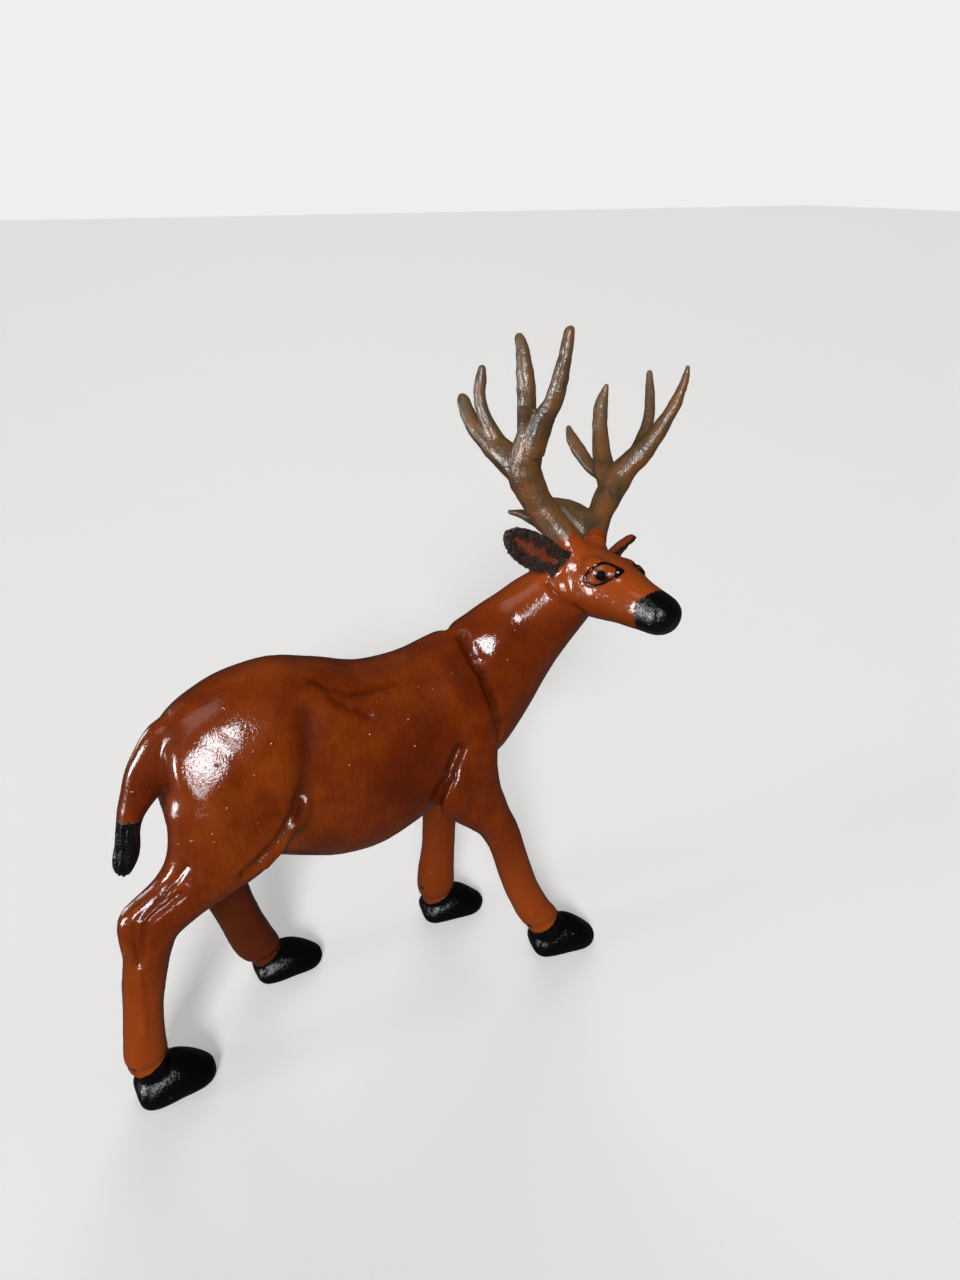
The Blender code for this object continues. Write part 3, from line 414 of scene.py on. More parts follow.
def path_rings(middles, half_deep, half_wide, wide_axis, power, count):
    """Sections square to a path, as wide as half_wide says along wide_axis.

    Each section takes over the turn of the one before it, so that none twists.
    """
    middles = np.array(middles)
    directions = np.gradient(middles, axis=0)
    directions /= np.linalg.norm(directions, axis=1, keepdims=True)
    side = np.array(wide_axis, float)
    rings = []
    for middle, direction, deep, wide in zip(middles, directions, half_deep, half_wide):
        side = side - side @ direction * direction
        side /= np.linalg.norm(side)
        rings.append(ring(middle, side, np.cross(direction, side), wide, deep, deep, power, count))
    return rings


def trunk_rings():
    rings = []
    for x, top, widest, bottom, half in smooth_rows(TRUNK, 3):
        above = top - widest
        below = widest - bottom
        rings.append(ring((x, 0, widest), (0, 1, 0), (0, 0, 1), half, above, below, 2.15, 48))
    return rings


def neck_rings():
    rows = smooth_rows(NECK, 3)
    return path_rings(rows[:, :3], rows[:, 3], rows[:, 4], (0, 1, 0), 2.1, 40)


def head_rings():
    _, right, up = head_axes()
    rings = []
    for along, top, widest, bottom, half in smooth_rows(HEAD, 3):
        middle = on_head((along, 0, widest))
        rings.append(ring(middle, right, up, half, top - widest, widest - bottom, 2.3, 36))
    return rings


def ear_frame(side):
    """The middles and rows of one ear, and its directions along, across and out of its hollow."""
    forward, right, up = head_axes()
    rows = smooth_rows(EAR, 2)
    middles = np.array([on_head((f, side * s, u)) for f, s, u, _, _ in rows])
    along = middles[-1] - middles[0]
    along /= np.linalg.norm(along)
    lean = math.radians(EAR_LEANS[0] if side > 0 else EAR_LEANS[1])
    across = math.cos(lean) * up + math.sin(lean) * forward
    across -= across @ along * along
    across /= np.linalg.norm(across)
    return middles, rows, along, across, side * np.cross(across, along)


def ear_rings(side):
    """Cupped sections of one ear. side is 1 for the deer's right and -1 for its left."""
    middles, rows, along, across, facing = ear_frame(side)
    count = 9
    place = np.linspace(-1, 1, count)
    rings = []
    for middle, (_, _, _, half, cup) in zip(middles, rows):
        hollow = middle + place[:, None] * half * across + ((place**2 - 0.4) * cup)[:, None] * facing
        thick = (EAR_THICKNESS / 2 * np.sqrt(np.clip(1 - 0.8 * place**4, 0, 1)))[:, None] * facing
        front = hollow + thick * min(1.0, half / 6.0)
        back = hollow - thick * min(1.0, half / 6.0)
        rings.append(np.vstack([front, back[::-1]]))
    return rings


def mirrored(rows):
    """The same stations on the other side of the body."""
    return [(height, back, front, -y, half) for height, back, front, y, half in rows]


def leg_rings(rows):
    rings = []
    for height, back, front, y, half in smooth_rows(rows, 3):
        middle = ((back + front) / 2, y, height)
        rings.append(ring(middle, (1, 0, 0), (0, 1, 0), (front - back) / 2, half, half, 2.15, 28))
    return rings


def hoof_rings(x, y, heading, height):
    """A blunt slipper, rounded at the heel and reaching a little below the ground."""
    angle = math.radians(heading)
    forward = np.array([math.cos(angle), math.sin(angle), 0])
    across = np.array([-math.sin(angle), math.cos(angle), 0])
    rings = []
    for along, high, wide, bottom in smooth_rows(HOOF, 2):
        top = high * height
        half = wide * HOOF_WIDTH / 2
        widest = bottom + 0.35 * (top - bottom)
        middle = np.array([x, y, widest]) + along * HOOF_LENGTH * forward
        rings.append(ring(middle, across, (0, 0, 1), half, top - widest, widest - bottom, 2.25, 28))
    return rings


def tail_rings():
    rows = smooth_rows(TAIL, 3)
    middles = np.stack([rows[:, 0], np.zeros(len(rows)), rows[:, 1]], axis=1)
    return path_rings(middles, rows[:, 2], rows[:, 3], (0, 1, 0), 2.0, 20)


def add_object(name, data):
    """A new object of the scene."""
    obj = bpy.data.objects.new(name, data)
    bpy.context.scene.collection.objects.link(obj)
    return obj


def opened(mesh):
    """A mesh that is open for changes."""
    made = bmesh.new()
    made.from_mesh(mesh)
    return made


def write_back(made, mesh):
    """Faces all of an open mesh outwards and writes it back."""
    bmesh.ops.recalc_face_normals(made, faces=made.faces)
    made.to_mesh(mesh)
    made.free()


def mesh_object(name, shells):
    """One object holding all the closed shells, in metres."""
    points = []
    faces = []
    for shell_points, shell_faces in shells:
        start = len(points)
        points.extend(tuple(point) for point in shell_points * UNIT)
        faces.extend(tuple(start + corner for corner in face) for face in shell_faces)
    mesh = bpy.data.meshes.new(name)
    mesh.from_pydata(points, [], faces)
    write_back(opened(mesh), mesh)
    return add_object(name, mesh)


def apply_modifiers(obj):
    """Replaces the object's mesh by what its modifiers make of it."""
    bpy.context.view_layer.update()
    evaluated = obj.evaluated_get(bpy.context.evaluated_depsgraph_get())
    mesh = bpy.data.meshes.new_from_object(evaluated)
    old = obj.data
    obj.modifiers.clear()
    obj.data = mesh
    bpy.data.meshes.remove(old)


def fuse(obj, grid):
    """Melts the overlapping shells of an object into one skin."""
    remesh = obj.modifiers.new("fuse", "REMESH")
    remesh.mode = "VOXEL"
    remesh.voxel_size = grid * UNIT
    apply_modifiers(obj)


def points_of(obj):
    """The vertices of an object in units of the carving."""
    points = np.empty(len(obj.data.vertices) * 3)
    obj.data.vertices.foreach_get("co", points)
    return points.reshape(-1, 3) / UNIT


def set_points(obj, points):
    obj.data.vertices.foreach_set("co", (points * UNIT).ravel())
    obj.data.update()


def relax(obj, rounds, weight):
    """Evens the skin out without shrinking it, by weight at each vertex."""
    edges = np.empty(len(obj.data.edges) * 2, np.int64)
    obj.data.edges.foreach_get("vertices", edges)
    edges = edges.reshape(-1, 2)
    points = points_of(obj)
    count = len(points)
    degree = np.bincount(edges.ravel(), minlength=count).clip(1)[:, None]
    for turn in range(2 * rounds):
        total = np.zeros_like(points)
        for axis in range(3):
            total[:, axis] = np.bincount(edges[:, 0], points[edges[:, 1], axis], count)
            total[:, axis] += np.bincount(edges[:, 1], points[edges[:, 0], axis], count)
        step = 0.55 if turn % 2 == 0 else -0.57
        points += step * weight[:, None] * (total / degree - points)
    set_points(obj, points)


def cut(made, geom, place, normal, inner):
    """Cuts a mesh along a plane, clears what lies behind it, or before it, and closes the cut."""
    bmesh.ops.bisect_plane(
        made,
        geom=geom,
        dist=CUT_WIDTH,
        plane_co=tuple(place),
        plane_no=tuple(normal),
        clear_inner=inner,
        clear_outer=not inner,
    )
    bmesh.ops.contextual_create(made, geom=[edge for edge in made.edges if edge.is_boundary])


def cut_flat(obj, place, normal):
    """Cuts off what lies behind a plane and closes the cut with flat faces."""
    made = opened(obj.data)
    cut(made, list(made.verts) + list(made.edges) + list(made.faces), np.array(place) * UNIT, normal, True)
    bmesh.ops.triangulate(made, faces=[face for face in made.faces if len(face.verts) > 3])
    write_back(made, obj.data)


def normals_of(obj):
    normals = np.empty(len(obj.data.vertices) * 3)
    obj.data.vertex_normals.foreach_get("vector", normals)
    return normals.reshape(-1, 3)


def far_from(points, line):
    """Distance of every point from a line of straight pieces."""
    nearest = np.full(len(points), 1e9)
    for start, end in zip(line[:-1], line[1:]):
        start = np.array(start)
        along = np.array(end) - start
        share = np.clip((points - start) @ along / (along @ along), 0, 1)
        away = points - start - share[:, None] * along
        nearest = np.minimum(nearest, np.linalg.norm(away, axis=1))
    return nearest


def coronet_line(x, y, heading, height):
    """The ring carved round a leg just above its hoof, a little lower behind than in front."""
    angle = math.radians(heading)
    line = []
    for turn in np.linspace(0, 2 * math.pi, 17):
        ahead = math.cos(turn) * CORONET_REACH[0] - CORONET_BACK
        beside = math.sin(turn) * CORONET_REACH[1]
        around_x = x + ahead * math.cos(angle) - beside * math.sin(angle)
        around_y = y + ahead * math.sin(angle) + beside * math.cos(angle)
        line.append((around_x, around_y, height + 0.15 * (ahead + 10)))
    return (*CORONET_CUT, line)


def carved_lines():
    """All the carved lines of the body, with those of MIRRORED on both sides."""
    lines = list(MIRRORED.values()) + list(RIGHT_ONLY.values())
    for half, depth, line in MIRRORED.values():
        lines.append((half, depth, [(x, -y, z) for x, y, z in line]))
    for x, y, heading, _, ring_height in HOOVES:
        lines.append(coronet_line(x, y, heading, ring_height))
    return lines


def body_weight(points):
    """How strongly each place is evened out: half as much on the hooves, least on the ears."""
    weight = np.ones(len(points))
    weight[points[:, 2] < HOOVES_BELOW] = 0.5
    sideways = np.abs((points - np.array(HEAD_PLACE)) @ head_axes()[1])
    weight[(sideways > 22) & (points[:, 2] > EARS_ABOVE)] = 0.25
    return weight


def seat(side):
    """Where an antler's flat foot lies on its pedicle, and the direction square to it."""
    forward, sideways, up = SEATS[0 if side > 0 else 1]
    middle = on_head((forward, side * sideways, up))
    way = on_head((SEAT_WAY[0], side * SEAT_WAY[1], SEAT_WAY[2])) - on_head((0, 0, 0))
    return middle, way / np.linalg.norm(way)


def pedicle_rings(side):
    """A short stub from inside the skull to above the seat, where trim_pedicle cuts it off."""
    middle, way = seat(side)
    places = [middle + way * step for step in (-14, -9, -4, 0, 3)]
    radius = PEDICLE_RADII[0 if side > 0 else 1]
    radii = [radius + extra for extra in (3.0, 1.6, 0.4, 0.0, 0.0)]
    return path_rings(places, radii, radii, ANTLER_ACROSS, 2.0, 20)


def branch_rings(rows, side):
    """Round sections of one antler branch. side is 1 for the deer's right and -1 for its left."""
    rows = smooth_rows(rows, 3)
    middles = [on_head((f, side * s, u)) for f, s, u, _ in rows]
    return path_rings(middles, rows[:, 3], rows[:, 3], ANTLER_ACROSS, 2.0, 16)


def carved_depth(points, lines):
    """How deep the carving lies at every point: grooves above zero, ridges below."""
    grooves = np.zeros(len(points))
    ridges = np.zeros(len(points))
    for half, depth, line in lines:
        sunk = depth * np.exp(-((far_from(points, line) / half) ** 2))
        grooves = np.maximum(grooves, sunk)
        ridges = np.minimum(ridges, sunk)
    return grooves, ridges


def crease_depth(points, lines):
    """How deep the narrow carved lines lie, where stain gathers and shade is painted."""
    grooves, _ = carved_depth(points, [line for line in lines if line[0] < 5])
    return grooves


def on_skin(points, lines):
    """The same lines laid onto the nearest places of the skin."""
    laid = []
    for half, depth, line in lines:
        found = []
        for start, end in zip(line[:-1], line[1:]):
            for share in (0.0, 0.25, 0.5, 0.75):
                found.append(np.array(start) * (1 - share) + np.array(end) * share)
        found.append(np.array(line[-1]))
        nearest = [points[np.argmin(((points - place) ** 2).sum(1))] for place in found]
        steps = [nearest[0]]
        for place in nearest[1:]:
            if np.linalg.norm(place - steps[-1]) > 0.5:
                steps.append(place)
        laid.append((half, depth, steps))
    return laid


def sink(obj, depth):
    """Moves the skin inwards along its normals."""
    set_points(obj, points_of(obj) - normals_of(obj) * depth[:, None])


def even_out(obj, middle, way, bends, reach):
    """Blends a place of the skin into one gently curved face, as a row of EVENED says."""
    points = points_of(obj)
    way = np.array(way) / np.linalg.norm(way)
    across = np.cross(way, (0.0, 0.0, 1.0))
    across /= np.linalg.norm(across)
    away = points - np.array(middle)
    beside = away @ across
    along = away @ np.cross(across, way)
    over = away @ way
    share = np.clip((reach[1] - np.hypot(beside, along)) / (reach[1] - reach[0]), 0, 1)
    share = share * share * (3 - 2 * share) * (np.abs(over) < 12)
    face = -(beside**2) / (2 * bends[0]) - along**2 / (2 * bends[1])
    set_points(obj, points + (share * (face - over))[:, None] * way)


def painted_shade_share(points):
    """How strongly every point is darkened by the broad places of painted shade and painted dark reflection
    on both sides.
    """
    share = np.zeros(len(points))
    folded = points.copy()
    folded[:, 1] = -np.abs(points[:, 1])
    for half, strength, line in SHADE_AND_REFLECTION_PATCHES:
        share = np.maximum(share, strength * np.exp(-((far_from(folded, line) / half) ** 2)))
    return share


def head_places(points):
    """Forward, sideways and up of every point in head axes."""
    away = points - np.array(HEAD_PLACE)
    forward, right, up = head_axes()
    return away @ forward, away @ right, away @ up


def eye_places(points):
    """For every point: along and above in an eye's own plane, and how far inside its almond."""
    forward, sideways, up = head_places(points)
    along = np.full(len(points), 50.0)
    above = np.full(len(points), 50.0)
    inside = np.full(len(points), -50.0)
    near = (np.abs(forward - EYE_PLACE[0]) < 22) & (np.abs(up - EYE_PLACE[2]) < 22) & (np.abs(sideways) > 3)
    away = np.stack([forward, np.abs(sideways), up], axis=1)[near] - np.array(EYE_PLACE)
    along[near] = away @ np.array(EYE_ALONG)
    above[near] = away @ np.array(EYE_ABOVE)
    rim = smooth_rows(EYE_RIM, 4)
    flat = np.stack([along[near], above[near], np.zeros(near.sum())], axis=1)
    distance = far_from(flat, [(a, b, 0.0) for a, b in rim])
    turns = np.zeros(near.sum())
    for (a, b), (c, d) in zip(rim[:-1], rim[1:]):
        start = np.arctan2(b - flat[:, 1], a - flat[:, 0])
        end = np.arctan2(d - flat[:, 1], c - flat[:, 0])
        turns += (end - start + math.pi) % (2 * math.pi) - math.pi
    inside[near] = np.where(np.abs(turns) > math.pi, distance, -distance)
    return along, above, inside


def ear_places(points):
    """For every point of an ear: height over its hollow face, distance from its rim, share of its length."""
    face = np.full(len(points), -9.0)
    rim = np.full(len(points), 30.0)
    share = np.zeros(len(points))
    _, sideways, _ = head_places(points)
    for side in (1, -1):
        middles, rows, along, across, facing = ear_frame(side)
        length = (middles[-1] - middles[0]) @ along
        reach = (points - middles[0]) @ along
        stations = (middles - middles[0]) @ along
        place = np.stack([np.interp(reach, stations, middles[:, axis]) for axis in range(3)], axis=1)
        half = np.interp(reach, stations, rows[:, 3])
        cup = np.interp(reach, stations, rows[:, 4])
        beside = (points - place) @ across
        over = (points - place) @ facing - ((beside / half) ** 2 - 0.4) * cup
        mine = (side * sideways > 17) & (points[:, 2] > 240) & (reach > 0.13 * length)
        mine &= (np.abs(over) < 9) & (np.abs(beside) < half + 2)
        face[mine] = over[mine]
        inside = np.minimum(half - np.abs(beside), length - reach)
        rim[mine] = (inside if side > 0 else inside + 4.0)[mine]
        share[mine] = (reach / length)[mine]
    return face, rim, share


def hoof_paint(points):
    """How far every point lies inside the black of a hoof or of a dew claw."""
    inside = np.full(len(points), -50.0)
    for (x, y, heading, _, _), height in zip(HOOVES, HOOF_PAINT):
        angle = math.radians(heading)
        ahead = (points[:, 0] - x) * math.cos(angle) + (points[:, 1] - y) * math.sin(angle)
        beside = (points[:, 1] - y) * math.cos(angle) - (points[:, 0] - x) * math.sin(angle)
        edge = height + 0.50 * (ahead + 10) + 2.0 * np.clip(ahead - 1, 0, None)
        mine = (np.hypot(ahead, beside) < 34) & (points[:, 2] < 50)
        inside = np.where(mine, np.maximum(inside, edge - points[:, 2]), inside)
    for place in DEW_CLAWS:
        inside = np.maximum(inside, 1.7 - np.linalg.norm(points - np.array(place), axis=1))
    return inside


def brushed_paint(points):
    """How far every point lies inside the black of the muzzle or of the tail tuft."""
    forward, sideways, up = head_places(points)
    muzzle = forward - MUZZLE_EDGE - 0.75 * np.clip(up - 2, 0, None)
    muzzle[(np.abs(sideways) > 24) | (np.abs(up) > 30)] = -50.0
    tuft = TUFT_TOP - points[:, 2]
    tuft[(points[:, 0] > TUFT_FRONT) | (np.abs(points[:, 1]) > TUFT_SIDE) | (points[:, 2] < 125)] = -50.0
    return np.maximum(muzzle, tuft)


def tuft_flutes(points):
    """Depth of the flutes carved lengthwise round the tail tuft."""
    rows = smooth_rows(TAIL, 3)[::-1]
    middle = np.interp(points[:, 2], rows[:, 1], rows[:, 0])
    turn = np.arctan2(points[:, 1], points[:, 0] - middle)
    fade = np.clip((TUFT_TOP - 1 - points[:, 2]) / 5, 0, 1) * np.clip((points[:, 2] - 132) / 4, 0, 1)
    fade[(points[:, 0] > TUFT_FRONT) | (np.abs(points[:, 1]) > TUFT_SIDE)] = 0.0
    wave = 0.5 - 0.5 * np.cos(11 * turn + 0.07 * points[:, 2] + 0.8 * np.sin(2 * turn))
    return fade * wave**1.5


def unevenness(points, seed, size, depth):
    """Gentle unevenness of a hand-finished skin, as a sum of long waves."""
    random = np.random.default_rng(seed)
    total = np.zeros(len(points))
    for _ in range(WAVES):
        way = random.normal(size=3)
        way /= np.linalg.norm(way)
        length = size * random.uniform(0.7, 1.6)
        total += np.sin(2 * math.pi * (points @ way) / length + random.uniform(0, 2 * math.pi))
    return depth * total / math.sqrt(WAVES)


def refine(obj, chosen):
    """Halves the grid where chosen says so, which is a function of the points."""
    made = opened(obj.data)
    picked = chosen(points_of(obj))
    edges = [edge for edge in made.edges if picked[edge.verts[0].index] and picked[edge.verts[1].index]]
    bmesh.ops.subdivide_edges(made, edges=edges, cuts=1, use_grid_fill=True)
    bmesh.ops.triangulate(made, faces=[face for face in made.faces if len(face.verts) > 4])
    made.to_mesh(obj.data)
    made.free()


def fine_places(points):
    """Places with fine carving or brushwork: eyes, ears and tail tuft."""
    forward, sideways, up = head_places(points)
    beside = np.abs(sideways)
    eyes = (np.abs(forward - EYE_PLACE[0]) < 17) & (np.abs(up - EYE_PLACE[2]) < 14)
    eyes &= (beside > 5) & (beside < 24)
    ears = (beside > 20) & (points[:, 2] > EARS_ABOVE) & (np.abs(forward) < 30)
    tuft = (points[:, 0] < TUFT_FRONT) & (np.abs(points[:, 1]) < TUFT_SIDE)
    tuft &= (points[:, 2] > 128) & (points[:, 2] < TUFT_TOP)
    return eyes | ears | tuft


def trim_pedicle(obj, side):
    """Cuts one pedicle off level on its seat."""
    middle, way = seat(side)
    made = opened(obj.data)
    centre = Vector(middle * UNIT)
    reach = (max(PEDICLE_RADII) + 6) * UNIT
    faces = [face for face in made.faces if (face.calc_center_median() - centre).length < reach]
    near = faces + list(dict.fromkeys(edge for face in faces for edge in face.edges))
    near += list(dict.fromkeys(vert for face in faces for vert in face.verts))
    cut(made, near, centre, way, False)
    write_back(made, obj.data)


def add_field(obj, name, values):
    """Keeps one number for each vertex, for the material to read."""
    field = obj.data.attributes.new(name, "FLOAT", "POINT")
    field.data.foreach_set("value", np.asarray(values, np.float32))


def smooth_shaded(obj, limit):
    obj.data.polygons.foreach_set("use_smooth", np.ones(len(obj.data.polygons), bool))
    obj.data.set_sharp_from_angle(angle=math.radians(limit))


def body_shells():
    """The closed shells that the body is fused from."""
    shells = []
    for rings in (trunk_rings(), neck_rings(), head_rings(), ear_rings(1), ear_rings(-1)):
        add_loft(shells, rings)
    for rows in (HIND_RIGHT, HIND_LEFT, FORE_RIGHT, FORE_LEFT, ELBOW, mirrored(ELBOW)):
        add_loft(shells, leg_rings(rows))
    for x, y, heading, height, _ in HOOVES:
        add_loft(shells, hoof_rings(x, y, heading, height))
    add_loft(shells, tail_rings())
    for side in (1, -1):
        add_loft(shells, pedicle_rings(side))
        add_loft(shells, branch_rings(BROW, side))
    return shells


def carve_fine(body):
    """Lids and eyeballs, flutes of the tail tuft, bristle marks on the ears, and unevenness."""
    points = points_of(body)
    _, _, inside = eye_places(points)
    lid = 0.75 * np.exp(-((inside / 0.9) ** 2)) - 0.9 * np.clip(inside / 4, 0, 1) ** 0.5
    sink(body, lid + tuft_flutes(points) + unevenness(points, 3, 17.0, 0.12))
    face, rim, _ = ear_places(points)
    bristles = np.where(rim < 6, 1.0, 0.35) * (face > -8)
    rough = np.array([noise.noise(Vector(point) * 0.75) if b else 0.0 for point, b in zip(points, bristles)])
    sink(body, 0.9 * rough * bristles)


def shaded_legs(points):
    """How strongly the two far legs are painted darker as shade: the foreleg less than the hind leg."""
    inner = np.clip((points[:, 1] - 8) / 10, 0, 1)
    hind = np.clip((-35 - points[:, 0]) / 12, 0, 1) * inner * np.clip((165 - points[:, 2]) / 30, 0, 1)
    fore = np.clip((points[:, 0] - 20) / 12, 0, 1) * inner * np.clip((150 - points[:, 2]) / 30, 0, 1)
    return hind + 0.4 * fore


def add_body_fields(body, lines):
    """Everything that the body's material reads."""
    points = points_of(body)
    along, above, inside = eye_places(points)
    face, rim, share = ear_places(points)
    fields = {
        "groove": crease_depth(points, lines),
        "painted_shade_share": painted_shade_share(points),
        "hoof_paint": hoof_paint(points),
        "brushed_paint": brushed_paint(points),
        "eye_along": along,
        "eye_above": above,
        "eye_inside": inside,
        "ear_face": face,
        "ear_rim": rim,
        "ear_share": share,
        "height": points[:, 2],
        "far_leg_shade": shaded_legs(points),
    }
    for name, values in fields.items():
        add_field(body, name, values)


def build_body():
    body = mesh_object("carved_body", body_shells())
    fuse(body, BODY_GRID)
    relax(body, 22, body_weight(points_of(body)))
    lines = on_skin(points_of(body), carved_lines())
    grooves, ridges = carved_depth(points_of(body), lines)
    sink(body, grooves + ridges)
    relax(body, 3, np.ones(len(body.data.vertices)))
    for row in EVENED:
        even_out(body, *row)
    refine(body, fine_places)
    relax(body, 2, np.where(fine_places(points_of(body)), 1.0, 0.0))
    carve_fine(body)
    for side in (1, -1):
        trim_pedicle(body, side)
    cut_flat(body, (0, 0, 0), (0, 0, 1))
    add_body_fields(body, lines)
    smooth_shaded(body, 55)
    return body


def tine_places(points, branches, side):
    """For every point: across, across and along the branch that it belongs to."""
    best = np.full(len(points), 1e9)
    place = np.zeros((len(points), 3))
    for name, rows in branches.items():
        rows = smooth_rows(rows, 3)
        line = np.array([on_head((f, side * s, u)) for f, s, u, _ in rows])
        run = 0.0
        for start, end, radius in zip(line[:-1], line[1:], rows[:-1, 3]):
            along = end - start
            length = np.linalg.norm(along)
            along /= length
            reach = np.clip((points - start) @ along, 0, length)
            away = points - start - reach[:, None] * along
            distance = np.linalg.norm(away, axis=1) - radius
            across = np.cross(along, ANTLER_ACROSS)
            across /= np.linalg.norm(across)
            closer = distance < best
            best = np.where(closer, distance, best)
            second = np.cross(along, across)
            found = np.stack([away @ across, away @ second, run + reach], axis=1)
            place = np.where(closer[:, None], found, place)
            run += length
    return place


def build_antler(name, branches, side):
    shells = []
    for rows in branches.values():
        full = [(f, s, u, ANTLER_FULLNESS * radius) for f, s, u, radius in rows]
        add_loft(shells, branch_rings(full, side))
    antler = mesh_object(name, shells)
    fuse(antler, ANTLER_GRID)
    relax(antler, 8, np.ones(len(antler.data.vertices)))
    points = points_of(antler)
    sink(antler, unevenness(points, 5 if side > 0 else 6, 11.0, 0.22) + unevenness(points, 9, 5.0, 0.07))
    middle, way = seat(side)
    cut_flat(antler, middle, way)
    points = points_of(antler)
    place = tine_places(points, branches, side)
    vector = antler.data.attributes.new("tine", "FLOAT_VECTOR", "POINT")
    vector.data.foreach_set("vector", place.astype(np.float32).ravel())
    add_field(antler, "over_seat", (points - middle) @ way)
    smooth_shaded(antler, 60)
    return antler


def linear(red, green, blue):
    """A colour of the screen, 0 to 255, as the shader's linear colour."""
    shares = [value / 255 for value in (red, green, blue)]
    return tuple(v / 12.92 if v < 0.04045 else ((v + 0.055) / 1.055) ** 2.4 for v in shares) + (1.0,)


class Nodes:
    """The nodes of a material or of the world, with short calls that add to them."""

    def __init__(self, owner):
        owner.use_nodes = True
        self.nodes = owner.node_tree.nodes
        self.links = owner.node_tree.links

    def put(self, socket, value):
        if isinstance(value, bpy.types.NodeSocket):
            self.links.new(value, socket)
        else:
            socket.default_value = value

    def fill(self, node, **inputs):
        """Sets or links a node's inputs by their names."""
        for name, value in inputs.items():
            self.put(node.inputs[name.replace("_", " ")], value)
        return node

    def add(self, kind, **inputs):
        return self.fill(self.nodes.new(kind), **inputs)

    def field(self, name, output="Fac"):
        node = self.add("ShaderNodeAttribute")
        node.attribute_name = name
        return node.outputs[output]

    def place(self, stretch=(1, 1, 1), source=None):
        """Places in metres, or those of a vector field, multiplied by stretch."""
        if source is None:
            source = self.add("ShaderNodeTexCoord").outputs["Object"]
        return self.add("ShaderNodeMapping", Vector=source, Scale=stretch).outputs["Vector"]

    def noise(self, place, size, detail=2.0, rough=0.5, distortion=0.0):
        """Clouds about as wide as size, around 0.5."""
        node = self.add("ShaderNodeTexNoise", Vector=place, Scale=1 / size, Detail=detail)
        return self.fill(node, Roughness=rough, Distortion=distortion).outputs["Fac"]

    def specks(self, place, size):
        """Distance from the nearest of scattered points, as a share of their spacing."""
        return self.add("ShaderNodeTexVoronoi", Vector=place, Scale=1 / size).outputs["Distance"]

    def math(self, operation, first, second=0.0, clamp=False):
        node = self.add("ShaderNodeMath")
        node.operation = operation
        node.use_clamp = clamp
        self.put(node.inputs[0], first)
        self.put(node.inputs[1], second)
        return node.outputs[0]

    def plus(self, first, second):
        return self.math("ADD", first, second)

    def minus(self, first, second):
        return self.math("SUBTRACT", first, second)

    def times(self, first, second):
        return self.math("MULTIPLY", first, second)

    def most(self, first, *others):
        for other in others:
            first = self.math("MAXIMUM", first, other)
        return first

    def total(self, *terms):
        """The sum of (weight, value) pairs."""
        parts = [self.times(value, weight) for weight, value in terms]
        found = parts[0]
        for part in parts[1:]:
            found = self.plus(found, part)
        return found

    def level(self, value, low, high, to_low, to_high):
        """A value's range from low to high, spread from to_low to to_high."""
        node = self.add("ShaderNodeMapRange", Value=value, From_Min=low, From_Max=high)
        return self.fill(node, To_Min=to_low, To_Max=to_high)

    def step(self, value, low, high, to_low=0.0, to_high=1.0):
        """The same with a soft start and end."""
        node = self.level(value, low, high, to_low, to_high)
        node.interpolation_type = "SMOOTHSTEP"
        return node.outputs["Result"]

    def mix(self, share, first, second):
        node = self.add("ShaderNodeMix")
        node.data_type = "RGBA"
        for index, value in ((0, share), (6, first), (7, second)):
            self.put(node.inputs[index], value)
        return node.outputs[2]

    def over(self, colour, paint, share, strength=1.0):
        """A colour with a paint over it, as far as share and strength say."""
        if strength < 1.0:
            share = self.times(share, strength)
        return self.mix(share, colour, linear(*paint))

    def ramp(self, value, *stops):
        node = self.add("ShaderNodeValToRGB", Fac=value)
        elements = node.color_ramp.elements
        while len(elements) < len(stops):
            elements.new(0.5)
        for element, (position, colour) in zip(elements, stops):
            element.position = position
            element.color = linear(*colour)
        return node.outputs["Color"]

    def spot(self, along, above, middle, reach):
        """1 inside an ellipse of the plane given by two fields, 0 outside."""
        first = self.math("DIVIDE", self.minus(along, middle[0]), reach[0])
        second = self.math("DIVIDE", self.minus(above, middle[1]), reach[1])
        square = self.plus(self.times(first, first), self.times(second, second))
        return self.step(square, 0.8, 1.2, 1.0, 0.0)

    def bump(self, height, depth):
        return self.add("ShaderNodeBump", Height=height, Distance=depth, Strength=1.0).outputs["Normal"]

    def choice(self, share, first, second):
        """The first shader where share is 0, the second where it is 1."""
        node = self.add("ShaderNodeMixShader", Fac=share)
        self.put(node.inputs[1], first.outputs[0])
        self.put(node.inputs[2], second.outputs[0])
        return node


def stain_and_shade_body(made, place):
    """Clouded stain, lighter on the neck and low on the legs, with painted shade and a painted dark
    reflection in places and in the creases.
    """
    cloud = made.noise(place, 0.060, 3, 0.5)
    blot = made.noise(place, 0.016, 3, 0.55, 0.3)
    grain = made.noise(made.place((1, 1, 0.06)), 0.0016, 3, 0.6)
    tone = made.total((0.50, cloud), (0.32, blot), (0.18, grain))
    colour = made.ramp(tone, *STAIN)
    height = made.field("height")
    lighter = made.most(made.step(height, 235.0, 275.0), made.step(height, 60.0, 125.0, 0.8, 0.0))
    colour = made.over(colour, LIGHT_STAIN, lighter, 0.85)
    # Painted shade on the two far legs
    colour = made.over(colour, FAR_LEG_SHADE, made.field("far_leg_shade"), 0.8)
    # Painted shade and a painted dark reflection in broad patches on both sides
    colour = made.over(colour, PAINTED_SHADE_COLOUR, made.field("painted_shade_share"))
    # Painted shade in the narrow creases, where stain also gathers
    return made.over(colour, CREASE_SHADE_AND_STAIN, made.step(made.field("groove"), 0.35, 2.2, 0.0, 0.9))


